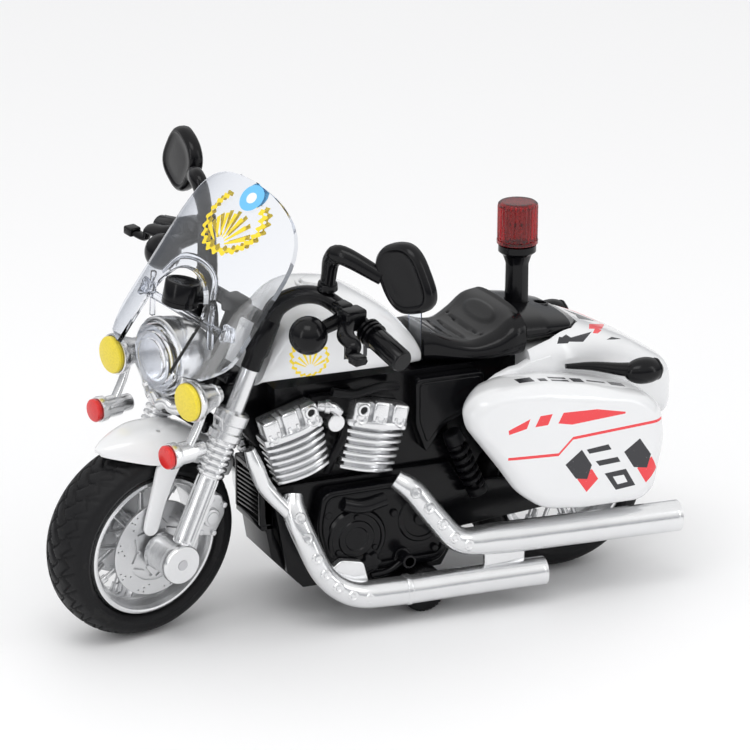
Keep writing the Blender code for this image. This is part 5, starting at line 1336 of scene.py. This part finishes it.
def motor_casing_shapes():
    """Half of the motor's case, hollow, its lower front corner rounded off round the mainspring."""
    outline = [(-20.5, 25.9), (-20.5, 8.0), (-18.0, 2.4), (-14.0, 1.9), (2.0, 1.9), (7.4, 3.2), (12.2, 6.6),
               (15.6, 11.2),
               (16.7, 17.0), (16.7, 25.9)]
    room = [(-19.4, 24.8), (-19.4, 8.4), (-17.4, 3.4), (-13.8, 3.0), (2.0, 3.0), (7.0, 4.2), (11.4, 7.4),
            (14.6, 11.8),
            (15.6, 17.0), (15.6, 24.8)]
    shell = slab(soft_outline(outline, 1.0), 0.15, 9.2, 0.3)
    shafts = [rod((x, 0, z), (x, 12.0, z), radius, sides=32) for x, z, radius in (
        (-13.5, 6.3, 1.35), (-6.605, 11.687, 1.25), (6.708, 15.505, 1.55))]
    return [cut(shell, slab(room, -1.0, 8.2), *shafts)]


def chassis():
    both("frame_casting", frame_shapes, black_paint, "chassis", "black_body", "frame_half")
    cylinders()
    both("engine_side", engine_cover_shapes, black_paint, "chassis", "black_body", "engine_cover")
    grille()
    both("exhaust_pipes", exhaust_shapes, silver_paint, "chassis", "silver_body", "exhaust")
    both("spring_shock", shock_shapes, satin_black, "chassis", "black_body", "rear_shock")

    def roller():
        foot = Vector((DRIVE_X, 0, 6.3))
        profile = [(1.35, 14.0), (5.6, 14.0), (6.2, 14.4), (6.25, 14.9), (6.25, 18.5), (6.2, 19.0),
                   (5.6, 19.4), (1.35, 19.4)]
        bm = turned(profile, (0, 0, 0), (0, 0, 1), steps=144, closed=True)
        for v in bm.verts:
            radius = math.hypot(v.co.x, v.co.y)
            if radius > 6.0:
                share = 1 - 0.045 * max(0.0, math.sin(36 * math.atan2(v.co.y, v.co.x)))
                v.co.x, v.co.y = v.co.x * share, v.co.y * share
        return [placed(bm, Matrix.Translation(foot) @ SIDE.to_track_quat("Z", "Y").to_matrix().to_4x4())]

    both("motor_casing", motor_casing_shapes, satin_black, "chassis", "black_body", "motor_case")
    both("ribbed_roller", roller, rubber_paint, "drive", "soft_tyre", "drive_roller")


# ---------------------------------------------------------------- bodywork

def tank():
    """The hollow tank shell, cut for the button and for the fork legs at full lock, with the button's
    surround and cap.
    """
    front = 33.6
    stations = [(0.0, 72.5, 0.5), (0.06, 77.0, 0.62), (0.2, 84.0, 0.84), (0.4, 89.0, 0.97), (0.62, 90.5, 1.0),
                (0.8, 89.7, 0.95), (0.93, 85.5, 0.82), (1.0, 79.5, 0.66)]
    points = flowing([Vector(s) for s in stations], 5)

    def rings(shrink, drop):
        made = []
        for point in points:
            share, top, wide = point
            x = TANK_REAR + (front - TANK_REAR) * share
            x = min(max(x, TANK_REAR + shrink), front - shrink)
            ring = egg(x, 67.0 - drop, top - shrink, 19.5 * wide - shrink, 56, 0.62)
            lean = math.tan(RAKE) * share ** 2
            made.append([Vector((p.x - (p.z - 67.0) * lean, p.y, p.z)) for p in ring])
        return made

    hole = rod((10.0, 0, 81.0), (10.0, 0, 99.0), 4.5, sides=40)
    reliefs = []
    for side in (1, -1):
        lock = Matrix.Rotation(math.radians(side * 18.4), 3, FORK_UP)
        low, high = [STEER_FOOT + lock @ (fork_at(height,
                                                  side * FORK_Y) - STEER_FOOT) for height in (44.0, 72.0)]
        reliefs.append(rod(low, high, 3.6, sides=48))
    shell = cut(skin(rings(0.0, 0.0)), skin(rings(1.5, 6.0)), hole, *reliefs)
    piece("tank_shell", [shell], tank_paint, "chassis", "white_body", ("fuel_tank",), crease=42.0)
    rim = turned([(4.6, 0.0), (5.6, 0.0), (5.7, 0.3), (5.5, 0.6), (4.7, 0.6), (4.55, 0.3)], (10.0, 0, 90.3),
                 (0, 0, 1),
                 steps=48, closed=True)
    piece("button_surround", [rim], white_paint, "chassis", "white_body")
    cap = turned([(0, 87.5), (4.2, 87.5), (4.2, 91.0), (3.9, 91.5), (3.2, 91.68), (0, 91.7)], (10.0, 0, 0),
                 (0, 0, 1),
                 steps=48)
    stem = rod((10.0, 0, 82.5), (10.0, 0, 88.0), 1.5, sides=16)
    piece("button_cap", [cap, stem], white_paint, "button", "white_body", ("sound_button",))


def seat():
    """The glossy seat: rounded rolls along its sides and leaf-shaped grooves pressed into its top."""
    front, rear = TANK_REAR - 0.9, SEAT_REAR
    stations = [(0.0, 76.0, 0.55), (0.12, 75.8, 0.6), (0.3, 74.0, 0.7), (0.5, 73.2, 0.84), (0.7, 75.4, 0.96),
                (0.86, 78.8, 1.0), (1.0, 80.0, 0.96)]
    points = flowing([Vector(s) for s in stations], 12)
    rings = [egg(front + (rear - front) * p.x, 66.6, p.y, 18.0 * p.z, 144, 0.66) for p in points]
    bm = skin(rings)
    for v in bm.verts:
        share = (v.co.x - front) / (rear - front)
        here = min(points, key=lambda p: abs(p.x - share))
        top, half = here.y, 18.0 * here.z
        if v.co.z > top - 4.0 and 0.03 < share < 0.985:
            wide = abs(v.co.y) / half
            dip = max(0.0, 1 - (wide / 0.74) ** 6) * min(1.0, (share - 0.03) / 0.1) * 0.55
            for at in (0.17, 0.31, 0.45, 0.59):
                off = abs(share - at - 0.07 * wide * wide)
                reach = 0.022 * max(0.0, 1 - (wide / 0.66) ** 2)
                if reach > 0:
                    dip += 0.8 * max(0.0, 1 - (off / reach) ** 2)
            oval = 1 - ((share - 0.78) / 0.085) ** 2 - (wide / 0.52) ** 2
            dip -= 0.5 * min(1.0, max(0.0, oval * 3.0))
            v.co.z -= dip
    piece("saddle", [bm], black_paint, "chassis", "black_body", ("seat",), crease=60.0)


def tail_cap():
    front = SEAT_REAR - 0.3
    sections = [(front, 70.0, 79.0, 17.0), (front - 7.0, 70.0, 78.0, 16.0), (front - 15.0, 70.0, 75.8, 13.0),
                (front - 19.0, 70.0, 73.6, 8.0)]
    points = [tuple(p) for p in sections]
    rings = []
    for k in range(25):
        t = k / 24 * (len(points) - 1)
        i = min(int(t), len(points) - 2)
        a, b = points[i], points[i + 1]
        f = t - i
        rings.append(egg(a[0] + (b[0] - a[0]) * f, a[1] + (b[1] - a[1]) * f, a[2] + (b[2] - a[2]) * f,
                         a[3] + (b[3] - a[3]) * f, 64, 0.75))
    post_hole = rod((POST_X, 0, 60), (POST_X, 0, 100), 3.4, sides=40)
    screw_hole = rod((POST_X - 7.1, 0, 73.4), (POST_X - 7.1, 0, 90), 1.7, sides=32)
    cap = cut(skin(rings), post_hole, screw_hole)
    lip = turned([(1.7, 0), (2.5, 0), (2.4, 0.35), (1.8, 0.4)], (POST_X - 7.1, 0, 76.35), (-0.13, 0, 1),
                 steps=40, closed=True)
    piece("cap_behind_seat", [cap, lip], black_paint, "chassis", "black_body", ("tail_cap",), crease=40.0)


def beacon():
    """The red beacon: ribbed clear lens, black collar and eight-sided post."""
    x, base, r, top = POST_X, 94.2, 5.6, 106.0
    post = turned([(0, 67.2), (4.5, 67.2), (4.5, 68.8), (3.35, 69.4), (3.3, 88.4), (3.35, 89.0), (4.0, 91.2),
                   (4.95, 92.0),
                   (5.15, 92.2), (5.15, 93.9), (4.9, 94.2), (0, 94.2)], (x, 0, 0), (0, 0, 1), steps=64)
    for v in post.verts:
        if 69.5 < v.co.z < 90.5:
            a = math.atan2(v.co.y, v.co.x - x)
            radius = math.hypot(v.co.y, v.co.x - x)
            flat = math.cos(math.pi / 8) / math.cos((a % (math.pi / 4)) - math.pi / 8)
            v.co.x, v.co.y = x + math.cos(a) * radius * flat, math.sin(a) * radius * flat
    piece("beacon_stand", [post], black_paint, "chassis", "black_body", ("beacon_post",), crease=24.0)
    lens = turned([(0, top - 1.5), (r - 1.3, top - 1.5), (r - 1.3, base + 0.3), (r, base + 0.3),
                   (r, base + 1.2),
                   (r - 0.12, base + 1.3), (r - 0.12, top - 1.3), (r - 0.25, top - 0.6), (r - 0.8, top - 0.1),
                   (r - 1.3, top), (0, top)], (x, 0, 0), (0, 0, 1), steps=240)
    for v in lens.verts:
        radius = math.hypot(v.co.y, v.co.x - x)
        if base + 1.25 < v.co.z < top - 1.0 and radius > r - 1.35:
            a = math.atan2(v.co.y, v.co.x - x)
            sign = 1.0 if radius > r - 0.5 else -0.5
            share = 1 + sign * 0.05 * (math.sin(26 * a) - 1) / 2
            v.co.x, v.co.y = x + (v.co.x - x) * share, v.co.y * share
    piece("beacon_cover", [lens], beacon_paint, "chassis", "red_body", ("beacon_lens",), crease=40.0)


def tail():
    """The white tail over the rear wheel, with its wheel arch and the flats for the cap and the panniers."""
    front, end, w = SEAT_REAR - 0.3, -91.0, 20.0
    sections = [(front, 48.0, 73.0, w), (front - 10.0, 48.0, 74.6, w), (front - 16.0, 48.0, 74.2, w - 1.0),
                (front - 26.0, 47.0, 70.6, w - 3.0), (front - 36.0, 45.0, 65.8, w - 5.6),
                (end + 1.8, 42.4, 59.8, w - 7.6)]
    rings = []
    steps = 10
    for a, b in zip(sections, sections[1:]):
        for k in range(steps):
            f = k / steps
            rings.append([a[i] + (b[i] - a[i]) * f for i in range(4)])
    rings.append(list(sections[-1]))
    smooth = [r[:] for r in rings]
    for _ in range(12):
        for k in range(1, len(rings) - 1):
            for i in (1, 2, 3):
                smooth[k][i] = (rings[k - 1][i] + 2 * rings[k][i] + rings[k + 1][i]) / 4
        rings = [r[:] for r in smooth]
    for back, shrink in ((0.9, 0.35), (0.35, 1.0), (0.0, 2.2)):
        rings.append([end + back, 42.4 + shrink, 59.4 - shrink, w - 7.8 - shrink])
    body = skin([egg(x, low, top, wide, 96, 0.55) for x, low, top, wide in rings])
    well = rod(REAR_AXLE - SIDE * 10.0, REAR_AXLE + SIDE * 10.0, 30.0, sides=120)
    frame_room = block((-58.4, -10.2, 40), (front + 5, 10.2, 66.3))
    cap_room = skin([[Vector((x, -y, 69.7)), Vector((x, y, 69.7)), Vector((x, y, 90)), Vector((x, -y, 90))]
                     for x, y in ((front + 5, 17.6), (front, 17.6), (front - 7.0, 16.6), (front - 15.0, 13.6),
                                  (front - 19.3, 8.6))])
    post_room = rod((POST_X, 0, 60), (POST_X, 0, 100), 4.8, sides=40)
    body = cut(body, well, frame_room, cap_room, post_room)
    tips = []
    for side in (1, -1):
        rings = []
        for x, low, high, inner in ((front - 6.0, 60.6, 68.4, 17.2), (front + 0.4, 60.6, 67.4, 17.2),
                                    (front + 3.0, 60.9, 66.2, 17.3), (-38.0, 61.4, 65.9, 17.5),
                                    (-34.0, 62.0, 64.6, 17.9), (-31.5, 62.5, 63.4, 18.4)):
            rings.append([Vector((x, side * y, z)) for y, z in (
                (inner, low), (19.3, low), (20.0, low + 0.5), (20.1, (low + high) / 2), (19.7, high - 0.5),
                (19.0, high), (inner, high))][::side])
        tips.append(skin(rings))
    piece("tail_body", [body] + tips, tail_paint, "chassis", "white_body", ("rear_fender",), crease=42.0)


def pannier_section(y, wall=0.0, draw_back=0.0):
    outline = [(-28.4, 65.2), (-21.6, 63.4), (-18.8, 60.2), (-19.6, 55.6), (-30.2, 41.6), (-34.6, 35.2),
               (-42.2, 29.5),
               (-54.0, 28.0), (-71.4, 28.0), (-75.4, 30.8), (-78.4, 45.6), (-77.0, 54.4), (-72.4, 58.6),
               (-56.0, 62.6),
               (-42.0, 65.0)]
    soft = soft_outline(outline, 3.2, 5)
    cx = sum(p[0] for p in soft) / len(soft)
    cz = sum(p[1] for p in soft) / len(soft)
    made = []
    for x, z in soft:
        reach = math.hypot(x - cx, z - cz)
        share = max(0.0, 1 - wall / reach * 1.12)
        back = draw_back * (x + 78.4) / 59.6
        made.append(Vector((cx + (x - cx) * share - back, y, cz + (z - cz) * share)))
    return made


def pannier_shapes():
    """The pannier: a rounded case with the ledge of its lid, and an open back."""
    low, high, draw = 20.7, 34.7, 5.4
    layers = [(low, 0.35, draw), (low + 0.35, 0.05, draw), (low + 3.0, 0.0, draw * 0.6),
              (low + 5.0, 0.0, draw * 0.35),
              (low + 7.0, 0.0, draw * 0.14), (low + 9.0, 0.0, 0.0), (high - 4.6, 0.05, 0.0),
              (high - 3.0, 0.3, 0.0),
              (high - 1.7, 0.95, 0.0), (high - 0.7, 2.0, 0.0), (high - 0.14, 3.0, 0.0), (high, 4.2, 0.0)]
    shell = skin([pannier_section(*layer) for layer in layers])
    room = skin([pannier_section(low - 1.0, 2.4, draw), pannier_section(low + 5.0, 2.4, draw * 0.35),
                 pannier_section(low + 9.0, 2.4), pannier_section(high - 4.0, 2.8),
                 pannier_section(high - 2.4, 5.6)])
    return [cut(shell, room)]





def rear_signal_shapes():
    root = Vector((-53.0, 21.8, 65.4))
    head = Vector((-73.6, 28.0, 63.4))
    arm = tube([root, root.lerp(head, 0.35) + Vector((0, -0.5, 0.3)), root.lerp(head, 0.7), head],
               [0.8, 1.5, 2.2, 3.0], sides=28, flat=0.8)
    egg_head = ball((0, 0, 0), (1, 1, 1), 56)
    for v in egg_head.verts:
        rear = max(0.0, -v.co.x)
        v.co = Vector((v.co.x * (5.4 if v.co.x < 0 else 6.0), v.co.y * 3.8 * (1 + 0.06 * rear), v.co.z * 3.6))
    placed(egg_head, Matrix.Translation(head))
    rim = rod(head + Vector((-3.4, 0, 0)), head + Vector((-3.9, 0, 0)), 3.05, 2.9, sides=40)
    return [egg_head, arm, rim]


def film_paint():
    paint = see_through("clear_film", (0.95, 0.98, 1.0), 0.02, 0.1)
    x, y, z = paint.where()
    edge = (abs(y - 5.0) > 3.7).most(z > 91.0)
    paint.use("Base Color", paint.tint(edge * 0.8, (0.95, 0.98, 1.0), (0.3, 0.42, 0.85)))
    return paint.made


def bodywork():
    tank()
    seat()
    tail_cap()
    beacon()
    tail()
    both("pannier_case", pannier_shapes, pannier_paint, "chassis", "white_body", "pannier", crease=50.0)
    both("rear_indicator", rear_signal_shapes, black_paint, "chassis", "black_body", "rear_signal")


# ---------------------------------------------------------------- sub-parts that keep their CAD shapes

def dress(name, paint):
    made = bpy.data.objects[name]
    made.data.materials.clear()
    made.data.materials.append(paint)


def dress_the_rest():
    nylon = moulded("gear_nylon", (0.82, 0.8, 0.72), 0.4, 0.1).made
    grey = moulded("grey_moulding", (0.25, 0.255, 0.265), 0.4, 0.1).made
    board = pigmented("board_resin", (0.03, 0.22, 0.09), 0.5)
    looks = {
        steel_paint: ("front_axle", "rear_axle", "drive_axle", "button_cells", "mainspring", "seat_screw"),
        nylon: ("drive_gear", "idler_gear", "spring_gear"),
        grey: ("speaker",),
        board: ("circuit_board",), yellow_glass: ("beacon_led",), film_paint(): ("battery_pull_tab",)}
    for paint, names in looks.items():
        for name in names:
            dress(name, paint)


# ---------------------------------------------------------------- stage

def stage():
    paint = Paint("floor_paper", (0.96, 0.96, 0.965), 0.62)
    soft = paint.noise(6.0, 3.0)
    paint.use("Roughness", soft * 0.1 + 0.56)
    bm = bmesh.new()
    bmesh.ops.create_grid(bm, x_segments=1, y_segments=1, size=3.0)
    mesh = bpy.data.meshes.new("floor")
    bm.to_mesh(mesh)
    bm.free()
    floor = bpy.data.objects.new("floor", mesh)
    bpy.context.scene.collection.objects.link(floor)
    mesh.materials.append(paint.made)

    world = bpy.data.worlds.new("studio")
    bpy.context.scene.world = world
    world.use_nodes = True
    tree = world.node_tree
    split = tree.nodes.new("ShaderNodeSeparateXYZ")
    ramp = tree.nodes.new("ShaderNodeValToRGB")
    tree.links.new(tree.nodes.new("ShaderNodeTexCoord").outputs["Generated"], split.inputs[0])
    tree.links.new(split.outputs[2], ramp.inputs[0])
    tree.links.new(ramp.outputs[0], tree.nodes["Background"].inputs["Color"])
    low, high = ramp.color_ramp.elements
    low.position, low.color = 0.05, (0.24, 0.25, 0.27, 1.0)
    high.position, high.color = 0.50, (1.0, 1.0, 1.0, 1.0)
    tree.nodes["Background"].inputs["Strength"].default_value = 0.98
    bpy.context.scene.view_settings.view_transform = "Standard"

    def panel(name, place, size, power, target=(0, 0, 0.05)):
        light = bpy.data.lights.new(name, "AREA")
        light.shape, light.size, light.size_y, light.energy = "RECTANGLE", size[0], size[1], power
        made = bpy.data.objects.new(name, light)
        made.location = place
        made.rotation_euler = (Vector(place) - Vector(target)).to_track_quat("Z", "Y").to_euler()
        bpy.context.scene.collection.objects.link(made)

    panel("key_panel", (0.25, 0.35, 0.85), (0.5, 0.35), 1.6)
    panel("left_strip", (0.75, 0.35, 0.35), (0.12, 0.6), 0.7)
    panel("right_strip", (-0.5, 0.55, 0.3), (0.12, 0.6), 0.6)

    turn, rise, reach = math.radians(156.63), math.radians(19.43), 0.88166
    back = Vector((math.sin(turn) * math.cos(rise), -math.cos(turn) * math.cos(rise), math.sin(rise)))
    target = PLACE @ Vector((0, 0, 55.0))
    lens = bpy.data.cameras.new("camera")
    lens.lens, lens.sensor_width, lens.shift_x, lens.shift_y = 158.0, 36.0, 0.032, 0.039
    camera = bpy.data.objects.new("camera", lens)
    camera.location = target + back * reach
    camera.rotation_euler = back.to_track_quat("Z", "Y").to_euler()
    bpy.context.scene.collection.objects.link(camera)
    bpy.context.scene.camera = camera


wheels()
front_end()
chassis()
bodywork()
dress_the_rest()
stage()
